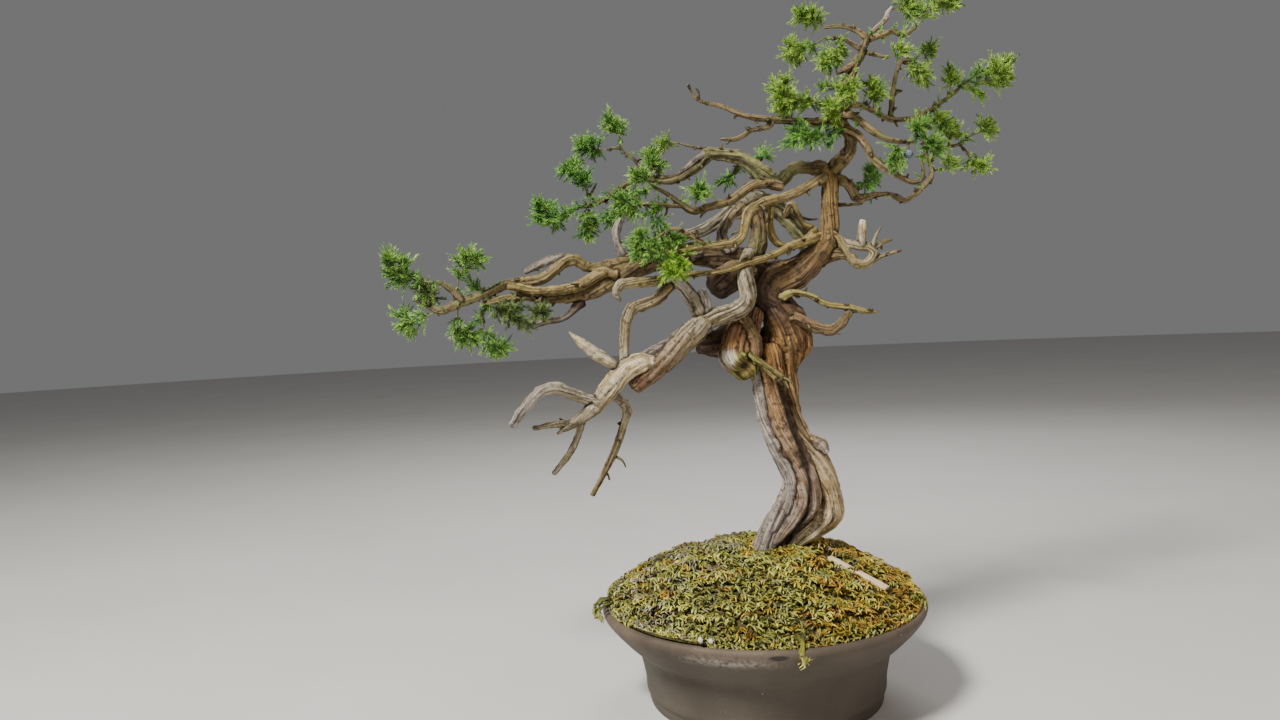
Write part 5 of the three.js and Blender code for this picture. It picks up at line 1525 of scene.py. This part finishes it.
def build_stick():
    """A flat split stick: a worn bar with bowed faces, rough ends and fibres along it."""
    corners = vertex_array(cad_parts["stick"].data) / MM
    middle = corners.mean(axis=0)
    axes = np.linalg.svd(np.unique(np.round(corners - middle, 3), axis=0))[2]
    sizes = np.abs((corners - middle) @ axes.T).max(axis=0)
    rings, sides = 60, 28
    square = turned(1.0, circle(sides))[:, :2]
    square = square / np.abs(square).max(axis=1, keepdims=True) ** 0.8
    square = square / np.abs(square).max() * sizes[1:] * 0.94
    lengthwise = np.linspace(-0.98, 0.98, rings) * sizes[0]
    flat = np.column_stack([np.repeat(lengthwise, sides), np.tile(square, (rings, 1))])
    rough = waves(flat, ([0.09, 0.9, 0.9], 0.22), ([0.3, 2.0, 2.0], 0.1))
    flat[:, 1:] += unit(flat[:, 1:]) * rough[:, None] * 0.8
    ends = np.sign(flat[:, 0]) * (np.abs(flat[:, 0]) > sizes[0] * 0.95)
    flat[:, 0] -= ends * noise(flat * [0, 0.9, 0.9] + 5) * 0.9
    flat[:, 0] = np.clip(flat[:, 0], -sizes[0], sizes[0])
    local = np.vstack([flat, [[-sizes[0] * 0.97, 0, 0], [sizes[0] * 0.97, 0, 0]]])
    made = new_object("stick_split", local @ axes + middle, ring_faces(rings, sides))
    set_attribute(made, "grain", local * [0.08, 1, 1], "FLOAT_VECTOR")
    dress(made, pale_wood_material(), "pale_wood", "stick")


def build_berry():
    """A juniper berry: a slightly dented ball with a three-armed scar at its far end."""
    low, high = berry_box()
    rings, sides = 30, 40
    polar = np.linspace(0.1, math.pi - 0.1, rings)[::-1, None]
    ball = turned(np.sin(polar), circle(sides), np.cos(polar)).reshape(-1, 3)
    scar = (ball[:, 2] < -0.8) * (np.cos(3 * np.tile(circle(sides), rings)) > 0.5)
    dents = 1 - 0.05 * (0.5 + 0.5 * noise(ball * 2.2)) - 0.06 * scar
    points = np.vstack([ball * dents[:, None], [[0, 0, -0.94], [0, 0, 0.94]]])
    points = points * (high - low).min() / 2 + (low + high) / 2
    made = new_object("berry_bloomed", points, ring_faces(rings, sides))
    bloom = grainy_material("berry_bloom", "39434f", "7d8b98", 500.0, 0.62, 0.0002)
    dress(made, bloom, "berry", "berry")


# Stage, light and camera

CAMERA_PLACE = (-0.1001, -0.8359, 0.3408)
CAMERA_PITCH = 2.31
CAMERA_ROLL = 2.76
CAMERA_LENS = 26.16
FLOOR_RADIUS = 9000
LIT_POINT = Vector((0, 0, 0.3))


def build_stage():
    """A wide pale floor just under the pot."""
    sides = 96
    floor = new_object("floor", turned(FLOOR_RADIUS, circle(sides), -0.2), [list(range(sides))], False)
    material, tree = new_material("pale_floor")
    veil = noise_texture(tree, object_place(tree), 3.0, 3.0)
    coat(tree, layered(tree, colour("c9c6c1"), (veil, (0.3, 0.7), colour("cfccc7"))), 0.75)
    paint(floor, material)


def area_light(name, place, size, power, tint):
    light = bpy.data.lights.new(name, "AREA")
    light.shape = "DISK"
    light.size = size
    light.energy = power
    light.color = tint
    lamp = placed(name, light)
    lamp.location = place
    lamp.rotation_euler = (LIT_POINT - Vector(place)).to_track_quat("-Z", "Y").to_euler()


def build_light():
    """Soft studio light: a key from the upper left, a warm fill from the right and a faint back light."""
    area_light("key", (-1.0, -1.1, 1.9), 0.5, 94, (1.0, 0.98, 0.95))
    area_light("fill", (1.5, -1.0, 0.9), 1.1, 10, (1.0, 0.9, 0.78))
    area_light("back", (0.4, 1.5, 1.5), 0.9, 14, (0.95, 0.97, 1.0))
    world = bpy.data.worlds.new("studio")
    world.use_nodes = True
    world.node_tree.nodes["Background"].inputs["Color"].default_value = (0.62, 0.62, 0.63, 1)
    world.node_tree.nodes["Background"].inputs["Strength"].default_value = 0.28
    bpy.context.scene.world = world


def build_camera():
    camera = bpy.data.cameras.new("camera")
    camera.lens = CAMERA_LENS
    camera.sensor_width = 36
    holder = placed("camera", camera)
    pitch = Matrix.Rotation(math.radians(90 - CAMERA_PITCH), 4, "X")
    roll = Matrix.Rotation(math.radians(-CAMERA_ROLL), 4, "Z")
    holder.matrix_world = Matrix.Translation(CAMERA_PLACE) @ pitch @ roll
    bpy.context.scene.camera = holder


build_camera()
build_stage()
build_light()
build_tree()
build_foliage()
build_moss()
build_pot()
build_small_pieces()
